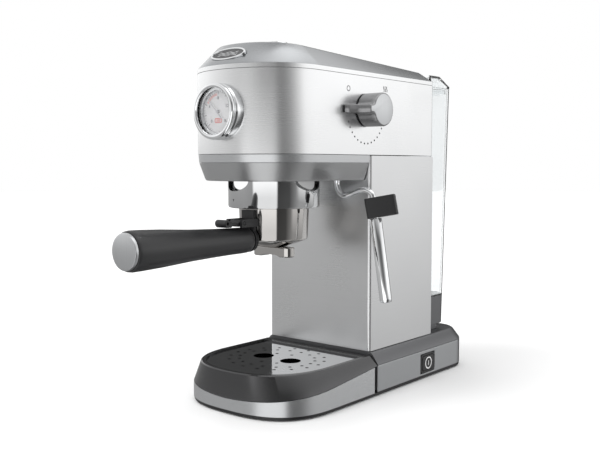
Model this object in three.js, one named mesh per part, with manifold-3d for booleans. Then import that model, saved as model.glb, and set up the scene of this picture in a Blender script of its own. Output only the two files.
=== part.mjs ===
// Pump espresso machine: a slim column between a base with a drip tray and an overhanging head.
// Millimetres, +Z up. Pieces are laid out with x = 0 on the symmetry plane, y = 0 on the column's
// front face (the user stands at -y) and z = 0 on the table. The whole group is moved at the end, so
// that its origin is the centre of its footprint box.
import * as THREE from 'three';
import { mergeVertices } from 'three/addons/utils/BufferGeometryUtils.js';
import Module from 'manifold-3d';

const wasm = await Module();
wasm.setup();

// ---------------------------------------------------------------- driving dimensions
const gap = 0.3;            // between pieces that touch
const skin = 1.5;           // steel wraps
const shell = 2.4;          // moulded walls
const far = 400;            // longer than any piece, for cutting tools

// Plan outlines: straight sides back to `rear`, a rounded front from `straight` to `front`.
const basePlan = { half: 70, rear: 174, straight: -62, front: -126.7, power: 2.7, corner: 30 };
const rimPlan = { half: 63.9, rear: -gap, straight: -57.5, front: -126.1, power: 2.4, corner: 1 };
const headPlan = { half: 61, rear: 108, straight: -75, front: -129, power: 2.1, corner: 3 };

const foot = { radius: 9, height: 2.2, stud: 3 };
const skirt = { bottom: 0.8, top: 3.6, inset: 0.5 };    // dark pan under the whole base
// Silver side panels: from the seam back to `rear`; the tray's band ends at `trayEnd`.
const panel = { bottom: 3.9, top: 28.5, seam: 1, rear: 151, trayEnd: -4.2 };
const deck = { z: 40, chamfer: 8.5 };                   // top of the rear base
const band = { rear: 28, front: 13.7, fall: 1.3 };      // upper edge of the tray's silver band
const rimZ = 37.4;                                      // top of the drip tray
// Holes of the grid: two large ones, and rings of small ones as half width, half depth, count, first angle.
const drain = { x: 16.2, y: -59.5, radius: 9.4, small: 1.6,
  rings: [[20, 18, 8, 38], [37, 31.5, 18, 6], [45, 41.5, 18, 6]] };
const column = { half: 61, depth: 108.4, corner: 5, top: 220.2 };
const head = { bottom: 198, band: 213.5, seam: 220.5, top: 290.3, taper: 6.5 };
const cover = { bottom: 290.6, band: 294, chamfer: 18, front: 313.5, slope: 0.04, seatZ: 303 };
const cupPlate = { half: 41.5, front: -60, rear: 100, thick: 1.9 };
const group = { y: -63, radius: 40.8, bore: 36.3, lip: 33.6, bottom: 174, top: 197.7 };
const groupNeck = { radius: 19.5, low: 187.6, top: 221.5 };
const ringWindow = { angles: [-175, -108, 5, 72], half: 18.5, depth: 8.8 };     // arches in the group's ring
const cup = { radius: 31.25, low: 30.25, bore: 28.8, bottom: 139.3, shoulder: 146, top: 180 };
const lug = { radius: 35.6, bottom: 177.3, halfAngle: 13 };
const handle = { z: 147, start: -97.8, end: -228, inner: 11.2, outer: 15.9, cap: 14.4 };
const gauge = { z: 255.7, face: -139, radius: 23.4, bore: 21.4 };
const knob = { y: -7.5, z: 260, radius: 14.8, wall: 62.2, face: 80.5, cap: 12.2 };
const neck = { half: 7, front: -97.5, low: 141, high: 172.8 };
const ear = { outer: 9.4, front: -113.9, rear: -92, low: 158.9, high: 165.6 };
const clip = { y: -110.9, z: 162.4, radius: 2.9, half: 6.3 };
const wand = { x: 40.6, y: -23.5, ballZ: 206.5, ball: 5.5, tube: 2.5, sleeve: 5.3, length: 91 };
const wandArm = { x: 80.3, z: 182.4, tilt: 9.1 };       // straight part: its top and lean in degrees
const wandGrip = { inner: -7.5, outer: 19.3, half: 7, low: -16.9, high: 0.8, turn: 29, lean: 2.5 };
const tank = { front: 110, rear: 156, foot: 149, half: 57, footHalf: 55, bottom: 46.5, top: 290 };
const tankFloor = { bottom: 74.8, top: 77.2 };
const tankLid = { bottom: 290.4, edge: 292.2, top: 301.5, half: 55, rear: 134, rim: 284 };
const badge = { half: 19.4, tall: 7.4, back: -2.2, front: 0.8 };     // oval on the cover's front chamfer
const button = { radius: 9, y: -88, pitch: 26, top: 314.4 };
const power = { y: 88, z: 15.5, long: 26, tall: 19, face: 70.8 };
const inlet = { x: 35, z: 16, radius: 6.2 };
const pump = { x: -18, y: 55, radius: 17 };

// ---------------------------------------------------------------- materials
const finish = (color, roughness, metalness) => new THREE.MeshStandardMaterial({ color, roughness,
  metalness });
const steel = finish(0xc6c8ca, 0.32, 1);
const chrome = finish(0xdfe2e4, 0.08, 1);
const silver = finish(0x9c9fa2, 0.45, 0.6);
const graphite = finish(0x4a4c4f, 0.5, 0.1);
const black = finish(0x17181a, 0.45, 0);
const rubber = finish(0x1c1c1c, 0.9, 0);
const brass = finish(0xb08d4f, 0.35, 1);
const aluminium = finish(0xb4b6b8, 0.5, 1);
const paper = finish(0xf2f2ee, 0.7, 0);
const clear = new THREE.MeshStandardMaterial({ color: 0xe6eef2, roughness: 0.05, transparent: true,
  opacity: 0.3 });
const board = finish(0x1d5a38, 0.6, 0);

// ---------------------------------------------------------------- geometry helpers
const degrees = THREE.MathUtils.degToRad;
const FRONT_STEPS = 18;
const CORNER_STEPS = 4;

function toSolid(geometry) {
  const bare = geometry.clone();
  bare.deleteAttribute('normal');
  bare.deleteAttribute('uv');
  const merged = mergeVertices(bare, 1e-4);
  const corners = merged.index.array;
  const kept = [];
  for (let i = 0; i < corners.length; i += 3) {
    const [a, b, c] = corners.slice(i, i + 3);
    if (a !== b && b !== c && c !== a) kept.push(a, b, c);
  }
  return new wasm.Manifold(new wasm.Mesh({
    numProp: 3,
    vertProperties: new Float32Array(merged.attributes.position.array),
    triVerts: new Uint32Array(kept),
  }));
}

function toGeometry(solid) {
  const mesh = solid.getMesh();
  const geometry = new THREE.BufferGeometry();
  geometry.setAttribute('position', new THREE.BufferAttribute(mesh.vertProperties, 3));
  geometry.setIndex(new THREE.BufferAttribute(mesh.triVerts, 1));
  geometry.computeVertexNormals();
  return geometry;
}

const cut = (body, ...tools) => toGeometry(tools.reduce((rest, tool) => rest.subtract(toSolid(tool)),
  toSolid(body)));
const join = (first, ...others) => toGeometry(others.reduce((all, one) => all.add(toSolid(one)),
  toSolid(first)));

// A smaller copy of a plan, moved in by `by` at the front and sides and by `byRear` at the rear.
const shrink = (plan, by, byRear = by) => ({
  ...plan,
  half: plan.half - by,
  front: plan.front + by,
  rear: plan.rear - byRear,
  corner: Math.max(plan.corner - by, 0.5),
});

// The closed outline of a plan, counter-clockwise seen from above, starting at the left side.
function outline({ half, rear, straight, front, power: bend, corner }) {
  const points = [];
  for (let i = 0; i <= FRONT_STEPS; i++) {
    const angle = Math.PI * (1 + i / FRONT_STEPS);
    const across = Math.cos(angle);
    const x = half * Math.sign(across) * Math.abs(across) ** (2 / bend);
    const y = straight - (straight - front) * Math.abs(Math.sin(angle)) ** (2 / bend);
    points.push(new THREE.Vector2(x, y));
  }
  for (const [side, start] of [[1, 0], [-1, 90]]) {
    for (let i = 0; i <= CORNER_STEPS; i++) {
      const angle = degrees(start + 90 * i / CORNER_STEPS);
      points.push(new THREE.Vector2(
        side * (half - corner) + corner * Math.cos(angle),
        rear - corner + corner * Math.sin(angle),
      ));
    }
  }
  return points;
}

// A rectangle with its own corner radius at the front and at the rear.
function roundedBox(half, front, rear, frontCorner, rearCorner = frontCorner) {
  const corners = [
    [-half + frontCorner, front + frontCorner, frontCorner, 180],
    [half - frontCorner, front + frontCorner, frontCorner, 270],
    [half - rearCorner, rear - rearCorner, rearCorner, 0],
    [-half + rearCorner, rear - rearCorner, rearCorner, 90],
  ];
  return corners.flatMap(([x, y, radius, start]) => Array.from({ length: CORNER_STEPS + 1 }, (_, i) => {
    const angle = degrees(start + 90 * i / CORNER_STEPS);
    return new THREE.Vector2(x + radius * Math.cos(angle), y + radius * Math.sin(angle));
  }));
}

// An outline lifted to height z, which may be a number or a function of the point and its index.
const at = (points, z) => points.map((point, i) => (
  new THREE.Vector3(point.x, point.y, typeof z === 'function' ? z(point, i, points) : z)));

// Triangles that join each ring of `count` points to the next one; `wrap` joins the last to the first.
function strips(count, levels, wrap) {
  const index = [];
  for (let level = 0; level < (wrap ? levels : levels - 1); level++) {
    const above = ((level + 1) % levels) * count;
    for (let i = 0; i < count; i++) {
      const next = (i + 1) % count;
      const [a, b, c, d] = [level * count + i, level * count + next, above + next, above + i];
      index.push(a, b, c, a, c, d);
    }
  }
  return index;
}

function surface(rings, index) {
  const geometry = new THREE.BufferGeometry();
  const numbers = rings.flat().flatMap((p) => [p.x, p.y, p.z]);
  geometry.setAttribute('position', new THREE.Float32BufferAttribute(numbers, 3));
  geometry.setIndex(index);
  geometry.computeVertexNormals();
  return geometry;
}

// A solid through a stack of rings with equally many points, lowest ring first.
function loft(...rings) {
  const count = rings[0].length;
  const index = strips(count, rings.length, false);
  const caps = (ring) => THREE.ShapeUtils.triangulateShape(ring.map((p) => new THREE.Vector2(p.x, p.y)),
    []);
  const top = (rings.length - 1) * count;
  for (const [a, b, c] of caps(rings[0])) index.push(a, c, b);
  for (const [a, b, c] of caps(rings.at(-1))) index.push(top + a, top + b, top + c);
  return surface(rings, index);
}

// A wall that goes all the way round: outer ring upwards, then inner ring downwards.
const ringWall = (...rings) => surface(rings, strips(rings[0].length, rings.length, true));

const prism = (points, low, high) => loft(at(points, low), at(points, high));

function block(xLow, xHigh, yLow, yHigh, zLow, zHigh) {
  const geometry = new THREE.BoxGeometry(xHigh - xLow, yHigh - yLow, zHigh - zLow);
  return geometry.translate((xLow + xHigh) / 2, (yLow + yHigh) / 2, (zLow + zHigh) / 2);
}

const pairs = (list) => list.map(([u, v]) => new THREE.Vector2(u, v));
// Solids of revolution from (radius, distance) pairs, listed counter-clockwise, about each axis.
const spinY = (profile, sides = 24) => new THREE.LatheGeometry(pairs(profile), sides);
const spinZ = (profile, sides = 24) => spinY(profile, sides).rotateX(Math.PI / 2);
const spinX = (profile, sides = 24) => spinY(profile, sides).rotateZ(-Math.PI / 2);
const bar = (radius, low, high) => [[0, low], [radius, low], [radius, high], [0, high]];

// A profile in the (y, z) plane, extruded across x; and one in the (x, z) plane, extruded along y.
function acrossX(shape, half) {
  const geometry = new THREE.ExtrudeGeometry(shape, { depth: 2 * half, bevelEnabled: false,
    curveSegments: 8 });
  return geometry.translate(0, 0, -half).applyMatrix4(new THREE.Matrix4().makeBasis(
    new THREE.Vector3(0, 1, 0), new THREE.Vector3(0, 0, 1), new THREE.Vector3(1, 0, 0)));
}
function alongY(shape, front, rear) {
  const geometry = new THREE.ExtrudeGeometry(shape, { depth: rear - front, bevelEnabled: false,
    curveSegments: 8 });
  return geometry.rotateX(Math.PI / 2).translate(0, rear, 0);
}

// A round tube along a smooth curve through the points, with an optional straight last stretch.
function tube(points, radius, steps, straightEnd) {
  const route = points.map((p) => new THREE.Vector3(...p));
  const path = new THREE.CurvePath();
  path.add(new THREE.CatmullRomCurve3(route, false, 'centripetal'));
  if (straightEnd) path.add(new THREE.LineCurve3(route.at(-1), new THREE.Vector3(...straightEnd)));
  const circle = new THREE.Path().absarc(0, 0, radius, 0, 2 * Math.PI);
  const section = new THREE.Shape(circle.getPoints(4).slice(0, -1));
  return new THREE.ExtrudeGeometry(section, { steps, extrudePath: path, bevelEnabled: false });
}

// A ring sector about z between two radii, for bayonet lugs and the gaps that let them in.
function sector(inner, outer, centre, halfAngle, low, high) {
  const shape = new THREE.Shape();
  shape.absarc(0, 0, outer, degrees(centre - halfAngle), degrees(centre + halfAngle), false);
  shape.absarc(0, 0, inner, degrees(centre + halfAngle), degrees(centre - halfAngle), true);
  const geometry = new THREE.ExtrudeGeometry(shape, { depth: high - low, bevelEnabled: false,
    curveSegments: 4 });
  return geometry.translate(0, 0, low);
}

const machine = new THREE.Group();

function piece(name, geometry, material, parent = machine) {
  const mesh = new THREE.Mesh(geometry, material);
  mesh.name = name;
  parent.add(mesh);
  return mesh;
}

function assembly(x, y, z, parent = machine) {
  const node = new THREE.Group();
  node.position.set(x, y, z);
  parent.add(node);
  return node;
}

// ---------------------------------------------------------------- base
function buildBase() {
  const footPlaces = [['front_left', -50, -85], ['front_right', 50, -85], ['rear_left', -50, 140],
    ['rear_right', 50, 140]];
  const studTop = skirt.top + 0.8;
  const studHoles = footPlaces.flatMap(([, x, y]) => [spinZ(bar(foot.stud + gap, 0, studTop), 14),
    spinZ(bar(foot.radius + gap, 0, foot.height + gap), 14)].map((hole) => hole.translate(x, y, 0)));
  piece('base_pan', cut(prism(outline(shrink(basePlan, skirt.inset)), skirt.bottom, skirt.top),
    ...studHoles), black);
  for (const [place, x, y] of footPlaces) {
    const pad = spinZ([[0, 0], [foot.radius - 0.5, 0], [foot.radius, 0.5], [foot.radius, foot.height],
      [foot.stud, foot.height], [foot.stud, studTop], [0, studTop]], 14);
    piece(`foot_${place}`, pad, rubber).position.set(x, y, 0);
  }

  const ahead = block(-far, far, -far, panel.seam, -far, far);
  const switchHole = block(60, 80, power.y - power.long / 2 - gap, power.y + power.long / 2 + gap,
    power.z - power.tall / 2 - gap, power.z + power.tall / 2 + gap);
  const inletHole = spinY(bar(inlet.radius + gap, 160, 180), 20).translate(inlet.x, 0, inlet.z);
  const behind = block(-far, far, panel.rear, far, -far, far);
  for (const [side, away] of [['left', [0, far]], ['right', [-far, 0]]]) {
    piece(`base_panel_${side}`, cut(prism(outline(basePlan), panel.bottom, panel.top),
      prism(outline(shrink(basePlan, 2)), 0, far), ahead, behind, switchHole,
        block(...away, -far, far, -far, far)), silver);
  }

  const inside = shrink(basePlan, 2 + gap + 0.1);
  const shelf = panel.top + gap;
  const outer = loft(at(outline(inside), 5.5), at(outline(inside), shelf),
    at(outline(shrink(basePlan, gap)), shelf), at(outline(shrink(basePlan, deck.chamfer)), deck.z));
  const rearWall = cut(prism(outline(shrink(basePlan, gap)), panel.bottom, shelf + 0.01),
    block(-far, far, -far, panel.rear + gap, -far, far));
  const hollow = cut(loft(at(outline(shrink(inside, shell)), 0), at(outline(shrink(inside, shell)), shelf),
    at(outline(shrink(basePlan, deck.chamfer + 1)), deck.z - shell)),
      block(-far, far, -far, 3.8, -far, far));
  const hoseHoles = [[0, 128], [pump.x, pump.y]].map(([x, y]) => spinZ(bar(5, 30, 50), 16).translate(x, y,
    0));
  piece('base_rear_shell', cut(join(outer, rearWall), hollow,
    block(-far, far, -far, panel.seam + 0.2, -far, far),
    switchHole, inletHole, ...hoseHoles), graphite);

  const bezel = roundedBox(power.long / 2, -power.tall / 2, power.tall / 2, 4);
  const well = roundedBox(power.long / 2 - 2, -power.tall / 2 + 2, power.tall / 2 - 2, 3);
  const cap = roundedBox(power.long / 2 - 2 - gap, -power.tall / 2 + 2 + gap, power.tall / 2 - 2 - gap, 3);
  const faceOut = new THREE.Matrix4().makeBasis(
    new THREE.Vector3(0, 1, 0), new THREE.Vector3(0, 0, 1), new THREE.Vector3(1, 0, 0));
  const sideways = (geometry) => geometry.applyMatrix4(faceOut);
  const switchPlace = assembly(0, power.y, power.z);
  piece('switch_housing', cut(sideways(prism(bezel, 60, 70.2)), sideways(prism(well, 62, 80))), black,
    switchPlace);
  piece('power_button', sideways(loft(at(cap, 65), at(cap, power.face - 0.6),
    at(cap.map((p) => p.clone().multiplyScalar(0.93)), power.face))), black, switchPlace);

  const glandProfile = [[3.6, 168], [inlet.radius, 168], [inlet.radius, 174.3], [8.5, 174.3], [8.5, 175],
    [7.9, 175.6], [3.6, 175.6]];
  piece('cable_gland', spinY([...glandProfile, glandProfile[0]], 24).translate(inlet.x, 0, inlet.z),
    rubber);
}

// ---------------------------------------------------------------- drip tray
// Height of the silver band's upper edge: it falls along the outline from the seam to the front.
function bandEdge(point, index, points) {
  const front = FRONT_STEPS / 2;
  if (index > FRONT_STEPS) return band.rear;
  const along = (from, to) => {
    let length = 0;
    for (let i = from; i < to; i++) length += points[i].distanceTo(points[i + 1]);
    return length;
  };
  const sideLength = -basePlan.straight;
  const toFront = index <= front ? along(index, front) : along(front, index);
  const whole = along(0, front) + sideLength;
  const share = (point.y > basePlan.straight - 0.01) ? along(0, front) / whole : toFront / whole;
  return band.front + (band.rear - band.front) * share ** band.fall;
}

function buildTray() {
  const trayPlan = { ...basePlan, rear: panel.seam - gap, corner: 1 };
  const edge = (lift) => (point, i, points) => bandEdge(point, i, points) + lift;
  const skinBack = join(block(-basePlan.half + 2, basePlan.half - 2, -60, far, -far, far),
    block(-far, far, panel.trayEnd, far, -far, far));
  const [outer, inner] = [outline(trayPlan), outline(shrink(trayPlan, 2))];
  piece('tray_band', cut(ringWall(at(outer, panel.bottom), at(outer, edge(0)), at(inner, edge(0)),
    at(inner, panel.bottom)), skinBack), silver);

  const bodyPlan = shrink({ ...trayPlan, rear: panel.seam - gap }, 2 + gap + 0.1, 0.4);
  const rimInner = shrink(rimPlan, 4.7, 11.2);
  const body = loft(at(outline(bodyPlan), 5.5), at(outline(bodyPlan), edge(gap)),
    at(outline(shrink(trayPlan, gap)), edge(gap)), at(outline(rimPlan), rimZ));
  piece('drip_tray', cut(body, prism(outline(rimInner), 33.6, far),
    loft(at(outline(shrink(rimInner, 5)), 8), at(outline(shrink(rimInner, 2.6)), 34))), graphite);

  const drains = [-drain.x, drain.x].map((x) => spinZ(bar(drain.radius, 0, 50), 24).translate(x, drain.y,
    0));
  const smallHoles = drain.rings.flatMap(([across, deep, count, start]) => Array.from({ length: count },
    (_, i) => {
    const angle = degrees(start + 360 * i / count);
    return [across * Math.cos(angle), deep * Math.sin(angle)];
  })).filter(([x, y]) => Math.hypot(Math.abs(x) - drain.x, y) > drain.radius + 2.6)
    .map(([x, y]) => spinZ(bar(drain.small, 0, 50), 6).translate(x, drain.y + y, 0));
  const grid = prism(outline(shrink(rimInner, gap)), 33.9, 36);
  piece('drip_grid', cut(grid, ...drains, ...smallHoles), steel);
}

// ---------------------------------------------------------------- column and what is inside it
function buildColumn() {
  const low = deck.z + gap;
  const outer = roundedBox(column.half, 0, column.depth, column.corner, 0.6);
  const inner = roundedBox(column.half - skin, skin, far, column.corner - skin, 0.6);
  piece('column_wrap', cut(prism(outer, low, column.top), prism(inner, 0, far)), steel);
  piece('column_back_plate', prism(roundedBox(column.half - skin - gap, 104.5, 107, 0.5), low, column.top),
    graphite);

  const pumpHole = spinZ(bar(pump.radius + 1.5, 90, 120), 24).translate(pump.x, pump.y, 0);
  const frame = join(block(-50, 50, 98, 99.5, low + gap, 218), block(-50, 50, 30, 99, 106, 108));
  piece('column_frame', cut(frame, pumpHole), aluminium);

  piece('pump', spinZ([[0, 68], [5, 68], [5, 78], [12, 78], [pump.radius, 84], [pump.radius, 134],
    [12, 140],
    [4, 140], [4, 150], [0, 150]], 24), black).position.set(pump.x, pump.y, 0);
  piece('solenoid_valve', join(block(16, 40, 52, 78, 108 + gap, 128),
    spinZ(bar(8, 127, 146), 20).translate(28, 65, 0)), brass);
  const components = [[30, 50, 130, 150, -46], [60, 80, 130, 142, -48], [30, 44, 170, 190, -44],
    [56, 84, 160, 186, -50]];
  piece('control_board', join(block(-57.5, -55.9, 20, 92, 120, 205),
    ...components.map(([y0, y1, z0, z1, x]) => block(-56.5, x, y0, y1, z0, z1))), board);
  piece('supply_hose', tube([[0, 128, 44], [0, 128, 32], [0, 116, 22], [-6, 90, 19], [-15, 66, 23],
    [pump.x, pump.y, 36], [pump.x, pump.y, 67.7]], 3, 22), rubber);
  piece('pressure_hose', tube([[pump.x, pump.y, 150.3], [pump.x, pump.y, 175], [-14, 32, 214], [-8, 4, 236],
    [-5, -16, 242], [-5, -29, 242]], 2.5, 20), rubber);
}

// ---------------------------------------------------------------- head
function buildHead() {
  const gaugeHole = spinY(bar(gauge.bore, -160, -90), 32).translate(0, 0, gauge.z);
  const stemHole = spinX(bar(4, 50, 70), 20).translate(0, knob.y, knob.z);
  piece('head_wrap', cut(prism(outline(headPlan), head.seam + gap, head.top),
    prism(outline(shrink(headPlan, skin)), 0, far), gaugeHole, stemHole), steel);

  const lowPlan = { ...headPlan, rear: -2 * gap, corner: 0.5 };
  const openRear = block(-lowPlan.half + 3, lowPlan.half - 3, -40, far, -far, far);
  piece('head_trim_band', cut(loft(at(outline(shrink(lowPlan, 0.9, 0)), head.band + 0.1),
    at(outline(shrink(lowPlan, gap, 0)), head.seam)), prism(outline(shrink(lowPlan, 3, 3)), 0, far),
      openRear), silver);
  const neckHole = spinZ(bar(20, 190, 205), 32).translate(0, group.y, 0);
  const wandHole = spinZ(bar(wand.tube + 0.6, 190, 202), 20).translate(wand.x, wand.y, 0);
  const lower = loft(at(outline(shrink(lowPlan, head.taper, 0.5)), head.bottom),
    at(outline(shrink(lowPlan, 1, 0)), head.band - 0.2), at(outline(shrink(lowPlan, 3.3, 0)),
      head.band - 0.2),
    at(outline(shrink(lowPlan, 3.3, 0)), head.seam - gap));
  const hollow = loft(at(outline(shrink(lowPlan, head.taper + shell, shell)), head.bottom + shell),
    at(outline(shrink(lowPlan, 3.3 + shell, shell)), head.band - 1),
    at(outline(shrink(lowPlan, 3.3 + shell, shell)), far));
  piece('head_lower_shell', cut(lower, hollow, neckHole, wandHole), graphite);
}

function buildCover() {
  const roof = (lift) => (point) => cover.front + lift - cover.slope * (point.y - headPlan.front - cover.chamfer);
  const outer = loft(at(outline(headPlan), cover.bottom), at(outline(headPlan), cover.band),
    at(outline(shrink(headPlan, cover.chamfer, 0)), roof(0)));
  const ceiling = cover.seatZ - shell;
  const hollow = loft(at(outline(shrink(headPlan, shell)), 0),
    at(outline(shrink(headPlan, shell)), cover.band),
    at(outline(shrink(headPlan, shell + 11.5, shell)), ceiling));
  const seat = prism(roundedBox(cupPlate.half, cupPlate.front, cupPlate.rear, 8), cover.seatZ, far);
  const buttonPlaces = [-button.pitch, 0, button.pitch];
  const buttonHoles = buttonPlaces.map((x) => spinZ(bar(button.radius + gap, 290, 330), 18).translate(x,
    button.y, 0));

  const lean = Math.atan2(cover.front - cover.band, cover.chamfer);
  const oval = new THREE.Shape().absellipse(0, 0, badge.half, badge.tall, 0, 2 * Math.PI, false, 0);
  const ovalPlate = (grow, back, front) => {
    const geometry = new THREE.ExtrudeGeometry(oval, { depth: front - back, bevelEnabled: false,
      curveSegments: 20 });
    return geometry.scale(grow, grow, 1).translate(0, 0, back).rotateX(lean);
  };
  const badgePlace = [0, headPlan.front + cover.chamfer / 2, (cover.band + cover.front) / 2];
  const badgeSeat = ovalPlate(1.03, badge.back - gap, 20).translate(...badgePlace);
  piece('top_cover', cut(outer, hollow, seat, ...buttonHoles, badgeSeat), silver);
  piece('badge_plate', ovalPlate(1, badge.back, badge.front), chrome).position.set(...badgePlace);

  const slots = [-28, -14, 0, 14, 28].map((x) => block(x - 2, x + 2, -42, 82, 300, 310));
  piece('cup_plate', cut(prism(roundedBox(cupPlate.half - gap, cupPlate.front + gap, cupPlate.rear - gap,
    7.7),
    cover.seatZ + gap, cover.seatZ + gap + cupPlate.thick), ...slots), steel);
  const buttonNames = ['button_one_cup', 'button_two_cups', 'button_steam'];
  buttonPlaces.forEach((x, i) => {
    const profile = [[0, 294], [3, 294], [3, 305], [button.radius, 305], [button.radius, button.top - 1],
      [button.radius - 1, button.top], [0, button.top]];
    piece(buttonNames[i], spinZ(profile, 18), chrome).position.set(x, button.y, 0);
  });
}

function buildGauge() {
  const place = assembly(0, 0, gauge.z);
  const { face, radius, bore } = gauge;
  piece('gauge_case', spinY([[0, -106], [20, -106], [20, -134.5], [21, -134.5], [21, -105], [0, -105]]),
    black, place);
  const ring = [[19.4, face + 1.6], [19.4, face + 0.4], [20, face], [radius - 0.8, face],
    [radius, face + 0.8],
    [radius, -122], [bore, -122], [bore, face + 1.6], [19.4, face + 1.6]];
  const headFront = prism(outline(shrink(headPlan, -gap)), 200, 300).translate(0, 0, -gauge.z);
  piece('gauge_bezel', cut(spinY(ring, 32), headFront), chrome, place);
  piece('gauge_lens', spinY(bar(bore - 0.4, face + 1.9, face + 2.9)), clear, place);
  piece('gauge_dial', spinY([[1.4, -131.5], [19.6, -131.5], [19.6, -130.6], [1.4, -130.6], [1.4, -131.5]]),
    paper, place);
  const needle = new THREE.Shape(pairs([[-7, -1.3], [16, -0.3], [16, 0.3], [-7, 1.3]]));
  const arrow = alongY(needle, -134.4, -133.6).rotateY(-degrees(133));
  piece('gauge_pointer', join(arrow, spinY(bar(2.4, -134.8, -133.4), 16), spinY(bar(1, -134, -126), 12)),
    black, place);
}

function buildKnob() {
  const place = assembly(0, knob.y, knob.z);
  const { wall, face, radius, cap } = knob;
  const body = spinX([[0, wall], [radius, wall], [radius, face - 1.4], [radius - 1.4, face], [0, face]],
    32);
  const lever = new THREE.Shape(pairs([[wall, 0], [wall, -33.5], [wall + 1.5, -33.5], [face - 0.8, -20.5],
    [face - 0.8, 0]]));
  const leverBar = new THREE.ExtrudeGeometry(lever, { depth: 7.4, bevelEnabled: false }).translate(0, 0,
    -3.2);
  const pocket = spinX(bar(cap + gap, face - 1.6, face + 5), 32);
  piece('steam_knob', cut(join(body, leverBar, spinX(bar(3, 47, wall + 1), 16)), pocket), silver, place);
  piece('knob_cap', spinX(bar(cap, face - 1.3, face), 32), aluminium, place);
  const valve = [[0, 40], [7, 40], [7, 58.5], [3 + gap, 58.5], [3 + gap, 46.5], [0, 46.5]];
  piece('steam_valve_body', spinX(valve, 20), brass, place);
}

// ---------------------------------------------------------------- brew group and boiler
function buildGroup() {
  const place = assembly(0, group.y, 0);
  const { radius, bore, lip, bottom, top } = group;
  const ring = [[lip, bottom], [radius - 1, bottom], [radius, bottom + 1], [radius, top], [bore, top],
    [bore, bottom + 2.9], [lip, bottom + 2.9], [lip, bottom]];
  const entries = [-45, 135].map((angle) => sector(lip - 3, bore + 0.5, angle, lug.halfAngle + 4,
    bottom - 1, bottom + 3));
  const arch = new THREE.Shape();
  arch.absarc(0, 0, ringWindow.half, Math.PI, 2 * Math.PI, false);
  arch.lineTo(ringWindow.half, 20);
  arch.lineTo(-ringWindow.half, 20);
  const windows = ringWindow.angles.map((angle) => (
    alongY(arch, 30, 50).scale(1, 1, ringWindow.depth / ringWindow.half).translate(0, 0,
      top).rotateZ(degrees(angle - 90))));
  piece('group_ring', cut(spinZ(ring, 40), ...entries, ...windows), chrome, place);
  const headRadius = bore - 0.5;
  piece('group_head', spinZ([[0, 184], [headRadius, 184], [headRadius, groupNeck.low],
    [groupNeck.radius, groupNeck.low + 1],
    [groupNeck.radius, groupNeck.top], [0, groupNeck.top]], 32), brass, place);
  piece('group_gasket', spinZ([[27, 181.6], [33, 181.6], [33, 183.7], [27, 183.7], [27, 181.6]], 32),
    rubber, place);
  piece('shower_screen', spinZ([[0, 181.6], [25.5, 181.6], [26.5, 182.3], [26.5, 183.7], [0, 183.7]], 32),
    steel, place);
}

function buildBoiler() {
  const casting = prism(roundedBox(30, -96, -30, 6), 222, 250);
  const dome = spinZ(bar(18, 249, 256), 24).translate(0, group.y, 0);
  piece('thermoblock', join(casting, dome), aluminium);
  piece('steam_feed_pipe', tube([[30.6, -50, 238], [35, -49, 239], [38, -38, 246], [33, -22, 255],
    [32, -11, 259],
    [34, knob.y, knob.z], [39.5, knob.y, knob.z]], 1.8, 18), aluminium);
  piece('steam_outlet_pipe', tube([[43, knob.y, knob.z - 7.4], [43, knob.y, 245], [42, -18, 231],
    [wand.x, wand.y, 222],
    [wand.x, wand.y, wand.ballZ + wand.ball + gap]], 2.2, 14), aluminium);
}

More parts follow.
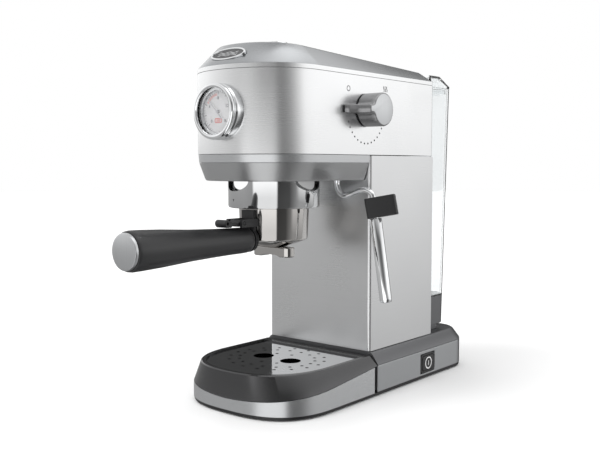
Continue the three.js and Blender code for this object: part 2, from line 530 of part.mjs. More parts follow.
// ---------------------------------------------------------------- portafilter
function buildPortafilter() {
  const place = assembly(0, group.y, 0);
  const { radius, low, bore, bottom, shoulder, top } = cup;
  const profile = [[4, bottom], [12, bottom], [low, shoulder], [radius, 171], [radius, top], [bore, top],
    [bore, 152], [4, 148.5], [4, bottom]];
  const lugs = [0, 180].map((angle) => sector(radius - 1, lug.radius, angle, lug.halfAngle, lug.bottom,
    top));
  piece('portafilter_cup', join(spinZ(profile, 32), ...lugs), chrome, place);
  piece('filter_basket', spinZ([[0, 154], [26.5, 154], [28.4, 157], [28.4, top + gap], [30.6, top + gap],
    [30.6, top + 1],
    [27.8, top + 1], [27.8, 157.2], [26.2, 154.8], [0, 154.8]], 24), steel, place);

  const spoutShape = new THREE.Shape(pairs([[-22, 130], [-11, 130], [-7, 132], [7, 132], [11, 130],
    [22, 130],
    [22, 138.2], [20, 139], [-20, 139], [-22, 138.2]]));
  const drips = [-16.5, 16.5].map((x) => spinZ(bar(3, 120, 132.5), 12).translate(x, 0, 0));
  piece('spout', cut(alongY(spoutShape, -6.5, 6.5), ...drips), chrome, place);

  const around = spinZ(bar(radius + 0.4, 100, 300), 32).translate(0, group.y, 0);
  const earInner = neck.half - 0.2;
  const ears = [block(-ear.outer, -earInner, ear.front, ear.rear, ear.low, ear.high),
    block(earInner, ear.outer, ear.front, ear.rear, ear.low, ear.high)];
  const pinHole = acrossX(new THREE.Shape().absarc(clip.y, clip.z, 1.7, 0, 2 * Math.PI), 15);
  piece('portafilter_neck', cut(join(block(-neck.half, neck.half, neck.front, -85, neck.low, neck.high), ...ears),
    around, pinHole), black);

  const clipShape = new THREE.Shape();
  clipShape.absarc(clip.y, clip.z, clip.radius, degrees(-90), degrees(140), false);
  clipShape.lineTo(-115, 162.6);
  clipShape.lineTo(-123, 162.6);
  clipShape.absarc(-127.6, 162.6, 3.2, degrees(20), degrees(235), false);
  clipShape.lineTo(-128.6, 159.2);
  clipShape.lineTo(-123.4, 159.2);
  clipShape.lineTo(-122, 160.6);
  clipShape.lineTo(-117, 160.6);
  clipShape.lineTo(-115, 159.5);
  const pin = acrossX(new THREE.Shape().absarc(clip.y, clip.z, 1.4, 0, 2 * Math.PI), 9.4);
  piece('basket_clip', join(acrossX(clipShape, clip.half), pin), black);

  const { start, end, inner, outer } = handle;
  const grip = [[0, end], [outer - 1.1, end], [outer, end + 3.5], [outer - 0.4, end + 12], [12.6, -170],
    [inner, start - 12], [inner - 0.6, start - 2.5], [8.5, start], [0, start]];
  piece('handle', spinY(grip, 32), black).position.set(0, 0, handle.z);
  piece('handle_cap', spinY([[0, end - 3.2], [handle.cap - 1, end - 3.2], [handle.cap, end - 2.2],
    [handle.cap, end - gap],
    [0, end - gap]], 32), aluminium).position.set(0, 0, handle.z);
}

// ---------------------------------------------------------------- steam wand
function buildWand() {
  const tilt = degrees(wandArm.tilt);
  const reach = wand.length - 2.2;
  const end = [wandArm.x + reach * Math.sin(tilt), wand.y, wandArm.z - reach * Math.cos(tilt)];
  const bend = [[wand.x, wand.ballZ], [wand.x, 198], [wand.x + 0.2, 193.7], [42.8, 188.7], [45.6, 185.7],
    [49.1, 184.6],
    [56.7, 186.4], [63.5, 188.5], [68.9, 189.8], [73.6, 189.4], [77.2, 187.8], [79.2, 186.1],
      [79.95, 184.5],
    [wandArm.x, wandArm.z]].map(([x, z]) => [x, wand.y, z]);
  const ball = new THREE.SphereGeometry(wand.ball, 14, 8).translate(wand.x, wand.y, wand.ballZ);
  piece('wand_tube', join(tube(bend, wand.tube, 44, end), ball), chrome);

  const arm = assembly(wandArm.x, wand.y, wandArm.z);
  arm.rotation.y = -tilt;
  const boreHole = spinZ(bar(wand.tube + gap, -60, 10), 20);
  const { inner, outer, half, low, high } = wandGrip;
  const gripBody = prism(roundedBox((outer - inner) / 2, -half, half, 2.5), low, high)
    .translate((outer + inner) / 2, 0, 0).rotateY(-degrees(wandGrip.lean)).rotateZ(degrees(wandGrip.turn));
  piece('wand_grip', cut(gripBody, boreHole), black, arm);
  const tip = -wand.length;
  const top = low - 2 * gap;
  const sleeve = [[1.2, tip], [4.2, tip], [wand.sleeve, tip + 1.5], [wand.sleeve, top],
    [wand.tube + gap, top],
    [wand.tube + gap, tip + 1.8], [1.2, tip + 1.8], [1.2, tip]];
  piece('wand_sleeve', spinZ(sleeve, 24), chrome, arm);
}

// ---------------------------------------------------------------- water tank
function buildTank() {
  const wallIn = 2.2;
  const lowRing = roundedBox(tank.footHalf, tank.front, tank.foot, 3, 14);
  const highRing = roundedBox(tank.half, tank.front, tank.rear, 3, 14);
  const lowIn = roundedBox(tank.footHalf - wallIn, tank.front + wallIn, tank.foot - wallIn, 1, 12);
  const highIn = roundedBox(tank.half - wallIn, tank.front + wallIn, tank.rear - wallIn, 1, 12);
  const between = (z) => lowIn.map((p, i) => p.clone().lerp(highIn[i],
    (z - tank.bottom) / (tank.top - tank.bottom)));
  const water = loft(at(between(tankFloor.top), tankFloor.top), at(between(tank.top + 5), tank.top + 5));
  const skirt = loft(at(between(tank.bottom - 5), tank.bottom - 5),
    at(between(tankFloor.bottom), tankFloor.bottom));
  const port = spinZ(bar(5.5, 60, 90), 20).translate(0, 128, 0);
  piece('water_tank', cut(loft(at(lowRing, tank.bottom), at(highRing, tank.top)), water, skirt, port),
    clear);
  piece('tank_valve', spinZ([[0, 72.6], [4, 72.6], [4, tankFloor.top + gap], [8, tankFloor.top + gap],
    [8, 80], [3, 81],
    [3, 86], [0, 86]], 20), black).position.set(0, 128, 0);

  const plinthTop = 72;
  const rings = [roundedBox(51, 112.8, 143, 2, 8), roundedBox(51, 112.8, 143, 2, 8),
    roundedBox(49, 112.8, 139, 2, 8)];
  const hoseWell = spinZ(bar(4.5, 30, 46), 20).translate(0, 128, 0);
  piece('tank_plinth', cut(loft(at(rings[0], deck.z + gap), at(rings[1], plinthTop - 4),
    at(rings[2], plinthTop)),
    hoseWell), graphite);

  const { bottom, edge, top, half, rear, rim } = tankLid;
  const outer = loft(at(roundedBox(tank.half + gap, tank.front, tank.rear, 3, 14), bottom),
    at(roundedBox(tank.half + gap, tank.front, tank.rear, 3, 14), edge),
      at(roundedBox(half, tank.front, rear, 3, 6), top));
  const inner = loft(at(roundedBox(half - 3, tank.front + 4.5, 149, 2, 10), rim - 5),
    at(roundedBox(half - 3, tank.front + 4.5, 149, 2, 10), edge),
      at(roundedBox(half - 4, tank.front + 3, rear - 2.4, 2, 4), top - 2.4));
  const rimRing = prism(roundedBox(half - 1.2, tank.front + 3, 150.6, 2, 11), rim, bottom + 1);
  piece('tank_lid', cut(join(outer, rimRing), inner), clear);
}

buildBase();
buildTray();
buildColumn();
buildHead();
buildCover();
buildGauge();
buildKnob();
buildGroup();
buildBoiler();
buildPortafilter();
buildWand();
buildTank();

const footprint = new THREE.Box3().setFromObject(machine).getCenter(new THREE.Vector3());
machine.position.set(-footprint.x, -footprint.y, 0);

export default machine;
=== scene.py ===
"""Slim espresso machine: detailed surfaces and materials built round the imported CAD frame.

Shapes are laid out in millimetres in the machine's own frame: x = 0 on the symmetry plane,
y = 0 on the column's front face (the user stands at -y), z = 0 on the table.
"""
import math

import bmesh
import bpy
from mathutils import Matrix, Vector


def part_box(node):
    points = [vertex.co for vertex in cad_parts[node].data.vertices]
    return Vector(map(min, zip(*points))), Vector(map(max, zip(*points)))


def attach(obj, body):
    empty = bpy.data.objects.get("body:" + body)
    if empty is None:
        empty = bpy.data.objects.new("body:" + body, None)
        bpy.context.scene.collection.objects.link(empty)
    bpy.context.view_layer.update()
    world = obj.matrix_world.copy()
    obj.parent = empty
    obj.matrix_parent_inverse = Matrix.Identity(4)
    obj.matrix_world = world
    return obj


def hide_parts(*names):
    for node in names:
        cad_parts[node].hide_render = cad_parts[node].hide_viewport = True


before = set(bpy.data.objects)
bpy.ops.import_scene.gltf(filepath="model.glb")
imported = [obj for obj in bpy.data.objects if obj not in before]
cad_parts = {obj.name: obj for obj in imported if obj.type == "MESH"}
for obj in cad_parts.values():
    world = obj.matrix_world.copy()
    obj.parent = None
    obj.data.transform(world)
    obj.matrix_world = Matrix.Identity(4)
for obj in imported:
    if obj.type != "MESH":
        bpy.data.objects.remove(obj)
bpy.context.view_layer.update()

MM = 0.001
column_low, column_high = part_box("column_wrap")
SHIFT = Vector(((column_low[0] + column_high[0]) / 2, column_low[1], 0))

# ---------------------------------------------------------------- driving dimensions, mm
GAP = 0.3
BASE = dict(half=70, rear=174, straight=-62, front=-126.7, power=2.7, corner=30)
RIM = dict(half=63.9, rear=-0.3, straight=-57.5, front=-126.1, power=2.4, corner=3)
HEAD = dict(half=61, rear=108, straight=-75, front=-129, power=2.1, corner=3)
SEAM = 1.0
SKIRT_LOW, SKIRT_TOP, SKIRT_INSET = 0.8, 3.6, 0.5
PANEL_LOW, PANEL_TOP, PANEL_REAR, TRAY_END = 3.9, 28.5, 151.0, -4.2
BAND_REAR, BAND_FRONT, BAND_FALL = 28.0, 13.7, 1.3
DECK_Z, DECK_CHAMFER = 40.0, 8.5
RIM_Z, GRID_LOW, GRID_TOP = 37.4, 33.9, 36.0
COLUMN_HALF, COLUMN_DEPTH, COLUMN_TOP = 61.0, 108.4, 220.2
HEAD_LOW, HEAD_BAND, HEAD_SEAM, HEAD_TOP, HEAD_TAPER = 198.0, 213.5, 220.5, 290.3, 6.5
COVER_LOW, COVER_BAND, COVER_TOP, COVER_CHAMFER, COVER_SLOPE = 290.6, 294.0, 313.5, 18.0, 0.04
SEAT_Z, PLATE_HALF, PLATE_FRONT, PLATE_REAR = 303.0, 41.5, -60.0, 100.0
GROUP_Y, RING_R, RING_BORE, RING_LIP, RING_LOW, RING_TOP = -63.0, 40.8, 36.3, 33.6, 174.0, 197.7
GAUGE_Z, GAUGE_FACE = 255.7, -139.0
KNOB_Y, KNOB_Z, KNOB_R, KNOB_WALL, KNOB_FACE = -7.5, 260.0, 14.8, 62.2, 80.5
HANDLE_Z = 147.0
CLIP_Y, CLIP_Z, CLIP_R, CLIP_HALF = -110.9, 162.4, 2.9, 6.3
THUMB_Y, THUMB_Z, THUMB_R = -127.6, 162.6, 3.2
WAND_X, WAND_Y, BALL_Z, ARM_X, ARM_Z, ARM_TILT, ARM_LENGTH = 40.6, -23.5, 206.5, 80.3, 182.4, 9.1, 91.0
DRAIN_X, DRAIN_Y, DRAIN_R, DRAIN_SMALL = 16.2, -59.5, 9.4, 1.6
DRAIN_RINGS = ((20, 18, 8, 38), (37, 31.5, 18, 6), (45, 41.5, 18, 6))
TANK_FRONT, TANK_REAR, TANK_FOOT, TANK_HALF, TANK_LOW_HALF = 110.0, 156.0, 149.0, 57.0, 55.0
TANK_LOW, TANK_SPLIT, TANK_TOP, TANK_WALL, TANK_DRAIN_Y = 46.5, 76.0, 290.0, 2.2, 128.0
BUTTON_Y, BUTTON_PITCH, BUTTON_R, BUTTON_TOP = -88.0, 26.0, 9.0, 314.4
POWER_Y, POWER_Z, POWER_LONG, POWER_TALL, POWER_FACE = 88.0, 15.5, 26.0, 19.0, 70.8
WINDOW_ANGLES, WINDOW_HALF, WINDOW_DEPTH = (-175, -108, 5, 72), 18.5, 8.8
GLAND_X, GLAND_Z = 35, 16
FEET = {"front_left": (-50, -85), "front_right": (50, -85), "rear_left": (-50, 140),
        "rear_right": (50, 140)}
FAR = 400            # past the whole machine
FRONT_STEPS, CORNER_STEPS = 72, 10

# The room that satin and mirror surfaces see, in bands: the sine of the band's angle above the horizon,
# then pairs of degrees round from the front towards +x and the grey there.
ROOM = (
    (-0.30, ((-180, 0.12), (-130, 0.15), (-115, 0.38), (-40, 0.44), (-14, 0.40), (-10, 1.15), (48, 1.15),
             (52, 0.08), (82, 0.10),
             (98, 0.30), (110, 0.46), (158, 0.46), (172, 0.12))),
    (-0.03, ((-180, 0.15), (-130, 0.20), (-118, 0.45), (-40, 0.50), (-14, 0.45), (-10, 1.55), (48, 1.55),
             (52, 0.06), (80, 0.08),
             (98, 0.30), (108, 0.95), (158, 1.00), (172, 0.12))),
    (0.03, ((-180, 0.08), (-132, 0.08), (-122, 1.00), (-75, 1.00), (-24, 0.78), (4, 0.52), (24, 0.38),
            (60, 0.30), (80, 0.42),
            (98, 0.85), (108, 1.10), (158, 1.10), (170, 0.10))),
    (0.10, ((-180, 0.06), (-132, 0.06), (-122, 1.20), (-75, 1.20), (-35, 0.85), (5, 0.50), (24, 0.22),
            (52, 0.14), (72, 0.42),
            (92, 1.00), (104, 1.35), (158, 1.35), (170, 0.10))),
    (0.42, ((-180, 0.06), (-132, 0.06), (-122, 1.15), (-60, 1.10), (-12, 0.50), (10, 0.12), (60, 0.12),
            (82, 0.45), (104, 0.95),
            (158, 1.00), (166, 0.30))),
    (0.55, ((-180, 1.10), (-150, 0.90), (-60, 0.90), (0, 0.45), (60, 0.45), (130, 1.10), (178, 1.30))),
    (0.74, ((-180, 1.30), (-150, 0.95), (-60, 0.90), (0, 0.50), (60, 0.50), (130, 1.20), (178, 1.50))),
    (0.92, ((-180, 0.42), (180, 0.42))),
)
ROOM_GAIN = 2.0      # greys are stored divided by this, because a ramp holds 0 to 1


# ---------------------------------------------------------------- outlines
def shrink(plan, by, by_rear=None):
    """The plan moved in by `by` at the front and sides, and by `by_rear` at the rear."""
    by_rear = by if by_rear is None else by_rear
    return dict(plan, half=plan["half"] - by, front=plan["front"] + by, rear=plan["rear"] - by_rear,
                corner=max(plan["corner"] - by, 0.5))


def outline(plan):
    """Counter-clockwise outline: rounded front from the left side to the right, then the rear corners."""
    points = []
    for i in range(FRONT_STEPS + 1):
        angle = math.pi * (1 + i / FRONT_STEPS)
        across = math.cos(angle)
        x = plan["half"] * math.copysign(abs(across) ** (2 / plan["power"]), across)
        bow = plan["straight"] - plan["front"]
        y = plan["straight"] - bow * abs(math.sin(angle)) ** (2 / plan["power"])
        points.append((x, y))
    for side, start in ((1, 0), (-1, 90)):
        for i in range(CORNER_STEPS + 1):
            angle = math.radians(start + 90 * i / CORNER_STEPS)
            points.append((side * (plan["half"] - plan["corner"]) + plan["corner"] * math.cos(angle),
                           plan["rear"] - plan["corner"] + plan["corner"] * math.sin(angle)))
    return points


def rounded_box(half, front, rear, front_corner, rear_corner=None):
    rear_corner = front_corner if rear_corner is None else rear_corner
    corners = ((-half + front_corner, front + front_corner, front_corner, 180),
               (half - front_corner, front + front_corner, front_corner, 270),
               (half - rear_corner, rear - rear_corner, rear_corner, 0),
               (-half + rear_corner, rear - rear_corner, rear_corner, 90))
    return [(x + r * math.cos(math.radians(start + 90 * i / CORNER_STEPS)),
             y + r * math.sin(math.radians(start + 90 * i / CORNER_STEPS)))
            for x, y, r, start in corners for i in range(CORNER_STEPS + 1)]


def arc(x, y, radius, first, last, steps):
    """Points on a circle from one angle to another, in degrees."""
    angles = [math.radians(first + (last - first) * i / steps) for i in range(steps + 1)]
    return [(x + radius * math.cos(a), y + radius * math.sin(a)) for a in angles]


def at(points, z):
    return [(x, y, z(x, y, i) if callable(z) else z) for i, (x, y) in enumerate(points)]


def level(plan, by, z, by_rear=None):
    """The plan's outline at a height, moved in as shrink does."""
    return at(outline(shrink(plan, by, by_rear)), z)


def bar(radius, low, high):
    return [(0, low), (radius, low), (radius, high), (0, high)]


# ---------------------------------------------------------------- meshes
def strips(count, levels, wrap):
    faces = []
    for level in range(levels if wrap else levels - 1):
        above = (level + 1) % levels * count
        for i in range(count):
            n = (i + 1) % count
            faces.append((level * count + i, level * count + n, above + n, above + i))
    return faces


def loft(*rings):
    """A closed solid through rings of equally many points, lowest first."""
    count = len(rings[0])
    faces = strips(count, len(rings), False)
    faces.append(tuple(reversed(range(count))))
    faces.append(tuple(range((len(rings) - 1) * count, len(rings) * count)))
    return [p for ring in rings for p in ring], faces


def ring_wall(*rings):
    """A wall that closes on itself: outer rings upwards, then inner rings downwards."""
    return [p for ring in rings for p in ring], strips(len(rings[0]), len(rings), True)


def prism(points, low, high):
    return loft(at(points, low), at(points, high))


def spin(profile, axis="Z", centre=(0, 0, 0), steps=96):
    """A solid of revolution from (radius, distance) pairs, from axis to axis or closed on itself."""
    closed = profile[0] == profile[-1]
    rows = profile[:-1] if closed else profile
    place = {"Z": lambda u, v, d: (u, v, d), "Y": lambda u, v, d: (u, d, -v), "X": lambda u, v,
             d: (d, u, v)}[axis]
    verts, index = [], []
    for radius, distance in rows:
        if radius == 0:
            index.append([len(verts)] * steps)
            verts.append(place(0, 0, distance))
            continue
        index.append(list(range(len(verts), len(verts) + steps)))
        for i in range(steps):
            angle = 2 * math.pi * i / steps
            verts.append(place(radius * math.cos(angle), radius * math.sin(angle), distance))
    faces = []
    for j in range(len(rows) if closed else len(rows) - 1):
        low, high = index[j], index[(j + 1) % len(rows)]
        for i in range(steps):
            n = (i + 1) % steps
            corners = [low[i], low[n], high[n], high[i]]
            face = [v for k, v in enumerate(corners) if v != corners[k - 1]]
            if len(set(face)) > 2:
                faces.append(tuple(face))
    return [tuple(a + b for a, b in zip(v, centre)) for v in verts], faces


def smooth_path(points, per_span=10):
    """Catmull-Rom samples through the points."""
    p = [Vector(q) for q in points]
    p = [p[0] * 2 - p[1]] + p + [p[-1] * 2 - p[-2]]
    samples = []
    for i in range(1, len(p) - 2):
        for k in range(per_span):
            t = k / per_span
            a, b, c, d = p[i - 1:i + 3]
            samples.append(0.5 * (2 * b + (c - a) * t + (2 * a - 5 * b + 4 * c - d) * t ** 2
                                  + (3 * b - a - 3 * c + d) * t ** 3))
    return samples + [p[-2]]


def sweep(path, radius, sides=28):
    """A closed round tube along a list of points; radius may be one number or one for each point."""
    radii = radius if isinstance(radius, list) else [radius] * len(path)
    normal = None
    rings = []
    for i, point in enumerate(path):
        tangent = (path[min(i + 1, len(path) - 1)] - path[max(i - 1, 0)]).normalized()
        if normal is None:
            normal = tangent.orthogonal().normalized()
        normal = (normal - tangent * normal.dot(tangent)).normalized()
        side = tangent.cross(normal)
        rings.append([tuple(point + radii[i] * (math.cos(a) * normal + math.sin(a) * side))
                      for a in (2 * math.pi * k / sides for k in range(sides))])
    return loft(*rings)


def turned(shape, matrix):
    verts, faces = shape
    return [tuple(matrix @ Vector(v)) for v in verts], faces


def moved(shape, x=0, y=0, z=0):
    return turned(shape, Matrix.Translation((x, y, z)))


def merged(*shapes):
    verts, faces = [], []
    for v, f in shapes:
        faces += [tuple(i + len(verts) for i in face) for face in f]
        verts += v
    return verts, faces


def extrude(profile, plane, low, high):
    """A closed profile pushed along the third axis: plane 'YZ' along x, 'XZ' along y, 'XY' along z."""
    lift = {"XY": lambda u, v, w: (u, v, w), "YZ": lambda u, v, w: (w, u, v), "XZ": lambda u, v,
            w: (u, -w, v)}[plane]
    if plane == "XZ":
        low, high = -high, -low
    return loft([lift(u, v, low) for u, v in profile], [lift(u, v, high) for u, v in profile])


def block(x0, x1, y0, y1, z0, z1):
    return prism([(x0, y0), (x1, y0), (x1, y1), (x0, y1)], z0, z1)


def new_object(name, shape):
    verts, faces = shape
    mesh = bpy.data.meshes.new(name)
    mesh.from_pydata([Vector(v) * MM + SHIFT for v in verts], [], faces)
    obj = bpy.data.objects.new(name, mesh)
    bpy.context.collection.objects.link(obj)
    work = bmesh.new()
    work.from_mesh(mesh)
    bmesh.ops.recalc_face_normals(work, faces=work.faces)
    work.to_mesh(mesh)
    work.free()
    return obj


def boolean(obj, shape, operation="DIFFERENCE"):
    """Cuts a shape from an object or joins it on, and keeps the result as the object's mesh."""
    tool = new_object("tool", shape)
    modifier = obj.modifiers.new("cut", "BOOLEAN")
    modifier.operation = operation
    modifier.solver = "EXACT"
    modifier.use_self = True
    modifier.object = tool
    result = bpy.data.meshes.new_from_object(obj.evaluated_get(bpy.context.evaluated_depsgraph_get()))
    obj.modifiers.clear()
    obj.data = result
    tool_mesh = tool.data
    bpy.data.objects.remove(tool)
    bpy.data.meshes.remove(tool_mesh)


def carved(shape, *cuts):
    """The shape with others cut from it, as a shape again."""
    obj = new_object("carved", shape)
    for cut in cuts:
        boolean(obj, cut)
    verts = [tuple((v.co - SHIFT) / MM) for v in obj.data.vertices]
    faces = [tuple(p.vertices) for p in obj.data.polygons]
    bpy.data.objects.remove(obj)
    return verts, faces


def piece(name, shape, material, body="machine", stands_for=(), cuts=(), joins=(), bevel=0.5, angle=30,
          segments=3):
    """One visible piece. It replaces the CAD node of its own name, if there is one, unless told otherwise."""
    stands_for = stands_for or ([name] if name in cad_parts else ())
    obj = new_object(name, shape)
    for join in joins:
        boolean(obj, join, "UNION")
    for cut in cuts:
        boolean(obj, cut)
    for polygon in obj.data.polygons:
        polygon.use_smooth = True
    obj.data.set_sharp_from_angle(angle=math.radians(angle))
    if bevel:
        rounding = obj.modifiers.new("rounding", "BEVEL")
        rounding.width = bevel * MM
        rounding.segments = segments
        rounding.limit_method = "ANGLE"
        rounding.angle_limit = math.radians(angle)
        rounding.harden_normals = True
        rounding.use_clamp_overlap = True
    obj.data.materials.clear()
    obj.data.materials.append(material)
    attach(obj, body)
    if stands_for:
        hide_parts(*stands_for)


# ---------------------------------------------------------------- materials
def shader(name):
    material = bpy.data.materials.new(name)
    material.use_nodes = True
    tree = material.node_tree
    return material, tree, tree.nodes["Principled BSDF"]


def noise(tree, scale, detail=4.0, roughness=0.55):
    """Noise in object space; scale is one number or one for each axis, in cycles per metre."""
    place = tree.nodes.new("ShaderNodeTexCoord")
    mapping = tree.nodes.new("ShaderNodeMapping")
    mapping.inputs["Scale"].default_value = scale if isinstance(scale, tuple) else (scale,) * 3
    texture = tree.nodes.new("ShaderNodeTexNoise")
    texture.inputs["Scale"].default_value = 1.0
    texture.inputs["Detail"].default_value = detail
    texture.inputs["Roughness"].default_value = roughness
    tree.links.new(place.outputs["Object"], mapping.inputs["Vector"])
    tree.links.new(mapping.outputs["Vector"], texture.inputs["Vector"])
    return texture.outputs["Fac"]


def spread(tree, value, low, high):
    """Maps the middle of a noise to low..high."""
    node = tree.nodes.new("ShaderNodeMapRange")
    node.inputs["From Min"].default_value = 0.3
    node.inputs["From Max"].default_value = 0.7
    node.inputs["To Min"].default_value = low
    node.inputs["To Max"].default_value = high
    tree.links.new(value, node.inputs["Value"])
    return node.outputs["Result"]


def tinted(tree, value, dark, light):
    ramp = tree.nodes.new("ShaderNodeValToRGB")
    ramp.color_ramp.elements[0].position = 0.3
    ramp.color_ramp.elements[0].color = (*dark, 1)
    ramp.color_ramp.elements[1].position = 0.7
    ramp.color_ramp.elements[1].color = (*light, 1)
    tree.links.new(value, ramp.inputs["Fac"])
    return ramp.outputs["Color"]


def bump(tree, value, strength, distance):
    node = tree.nodes.new("ShaderNodeBump")
    node.inputs["Strength"].default_value = strength
    node.inputs["Distance"].default_value = distance
    tree.links.new(value, node.inputs["Height"])
    return node.outputs["Normal"]


def brushed_metal(name, dark, light, rough, grain, depth=0.12):
    """Metal with fine scratches along one axis: grain is 'x', 'y', 'z' or 'h' for all horizontal ways."""
    material, tree, principled = shader(name)
    long_way, short_way = 9.0, 2600.0
    scale = {"x": (long_way, short_way, short_way), "y": (short_way, long_way, short_way),
             "z": (short_way, short_way, long_way), "h": (long_way, long_way, short_way)}[grain]
    scratches = noise(tree, scale, 3.0)
    clouds = noise(tree, 14.0, 2.0)
    principled.inputs["Metallic"].default_value = 1.0
    tree.links.new(tinted(tree, scratches, dark, light), principled.inputs["Base Color"])
    mix = tree.nodes.new("ShaderNodeMath")
    mix.operation = "ADD"
    tree.links.new(spread(tree, scratches, rough - 0.015, rough + 0.015), mix.inputs[0])
    tree.links.new(spread(tree, clouds, -0.03, 0.03), mix.inputs[1])
    tree.links.new(mix.outputs[0], principled.inputs["Roughness"])
    tree.links.new(bump(tree, scratches, depth, 0.00005), principled.inputs["Normal"])
    return material


def polished_metal(name, colour, rough):
    material, tree, principled = shader(name)
    smudges = noise(tree, 60.0, 5.0)
    principled.inputs["Metallic"].default_value = 1.0
    darker = tuple(c * 0.96 for c in colour)
    tree.links.new(tinted(tree, smudges, darker, colour), principled.inputs["Base Color"])
    tree.links.new(spread(tree, smudges, rough * 0.6, rough * 1.4), principled.inputs["Roughness"])
    return material


def metallic_paint(name, dark, light, rough, metallic=0.75):
    """Silver lacquer with fine flakes and a faint orange peel."""
    material, tree, principled = shader(name)
    flakes = noise(tree, 5200.0, 2.0)
    peel = noise(tree, 420.0, 2.0)
    principled.inputs["Metallic"].default_value = metallic
    tree.links.new(tinted(tree, flakes, dark, light), principled.inputs["Base Color"])
    tree.links.new(spread(tree, flakes, rough - 0.05, rough + 0.05), principled.inputs["Roughness"])
    tree.links.new(bump(tree, peel, 0.04, 0.0001), principled.inputs["Normal"])
    return material


def moulded_plastic(name, dark, light, rough, grain=2400.0, depth=0.25):
    """Moulded plastic with a fine spark-eroded grain and slow gloss changes."""
    material, tree, principled = shader(name)
    fine = noise(tree, grain, 3.0)
    slow = noise(tree, 22.0, 3.0)
    tree.links.new(tinted(tree, slow, dark, light), principled.inputs["Base Color"])
    mix = tree.nodes.new("ShaderNodeMath")
    mix.operation = "ADD"
    tree.links.new(spread(tree, fine, rough - 0.04, rough + 0.04), mix.inputs[0])
    tree.links.new(spread(tree, slow, -0.03, 0.03), mix.inputs[1])
    tree.links.new(mix.outputs[0], principled.inputs["Roughness"])
    tree.links.new(bump(tree, fine, depth, 0.00008), principled.inputs["Normal"])
    return material


def clear_plastic(name, colour, ior, rough=0.02):
    material, tree, principled = shader(name)
    haze = noise(tree, 35.0, 3.0)
    principled.inputs["Base Color"].default_value = (*colour, 1)
    principled.inputs["Transmission Weight"].default_value = 1.0
    principled.inputs["IOR"].default_value = ior
    tree.links.new(spread(tree, haze, rough * 0.5, rough * 1.5), principled.inputs["Roughness"])
    return material


def printed(name, colour, rough=0.6):
    """Ink: a colour that varies a little where the print is thinner."""
    material, tree, principled = shader(name)
    thin = noise(tree, 900.0, 2.0)
    lighter = tuple(min(1, c + 0.03) for c in colour)
    tree.links.new(tinted(tree, thin, colour, lighter), principled.inputs["Base Color"])
    principled.inputs["Roughness"].default_value = rough
    return material


# The column wrap and the head wrap are one brushed steel in two brightnesses: painted shade in the column's
# darker copy, painted light in the head's lighter copy, which the cover band uses too.
steel_wrap_shaded = brushed_metal("brushed_steel_wrap", (0.70, 0.705, 0.71), (0.715, 0.72, 0.725), 0.30, "h",
                           0.008)
steel_head_lit = brushed_metal("brushed_steel_head", (0.80, 0.805, 0.81), (0.815, 0.82, 0.825), 0.26, "h",
                           0.006)
steel_plate = brushed_metal("brushed_steel_plate", (0.60, 0.61, 0.62), (0.68, 0.69, 0.70), 0.24, "x", 0.08)
steel_grid = brushed_metal("polished_steel_grid", (0.66, 0.67, 0.68), (0.68, 0.69, 0.70), 0.08, "x", 0.01)
steel_lid = brushed_metal("satin_cover", (0.40, 0.41, 0.42), (0.415, 0.425, 0.435), 0.26, "y", 0.01)
satin_face = brushed_metal("satin_aluminium", (0.58, 0.59, 0.60), (0.62, 0.63, 0.64), 0.34, "z", 0.02)
# The group's and the portafilter's chrome are darker copies of the same chrome: painted shade for their
# darker reflections.
chrome = polished_metal("chrome", (0.88, 0.89, 0.90), 0.05)
ring_chrome_shaded = polished_metal("ring_chrome_shaded", (0.64, 0.645, 0.65), 0.06)
cup_chrome_shaded = polished_metal("cup_chrome_shaded", (0.52, 0.505, 0.49), 0.05)
silver = metallic_paint("silver_paint", (0.40, 0.41, 0.42), (0.45, 0.46, 0.47), 0.34, 0.9)
silver_band = metallic_paint("silver_band", (0.56, 0.57, 0.58), (0.62, 0.63, 0.64), 0.28, 0.9)
knob_paint = metallic_paint("knob_paint", (0.26, 0.26, 0.265), (0.32, 0.32, 0.325), 0.28)
graphite = metallic_paint("graphite_plastic", (0.13, 0.132, 0.137), (0.15, 0.152, 0.157), 0.34, 0.7)
tray_black = metallic_paint("tray_plastic", (0.085, 0.085, 0.087), (0.100, 0.100, 0.102), 0.22, 0.85)
head_grey = metallic_paint("head_underside", (0.46, 0.465, 0.47), (0.50, 0.505, 0.51), 0.30, 0.9)
black = moulded_plastic("black_plastic", (0.010, 0.010, 0.011), (0.015, 0.015, 0.016), 0.38)
handle_black = moulded_plastic("handle_plastic", (0.016, 0.016, 0.017), (0.021, 0.021, 0.022), 0.36, 1800.0,
                               0.15)
rubber = moulded_plastic("rubber", (0.015, 0.015, 0.015), (0.022, 0.022, 0.022), 0.8, 1500.0, 0.4)
brass = brushed_metal("machined_brass", (0.55, 0.40, 0.18), (0.66, 0.50, 0.25), 0.25, "z")
aluminium = brushed_metal("cast_aluminium", (0.5, 0.5, 0.51), (0.6, 0.6, 0.61), 0.45, "h")
dial_face = moulded_plastic("dial_card", (0.74, 0.74, 0.75), (0.79, 0.79, 0.80), 0.6, 3000.0, 0.05)
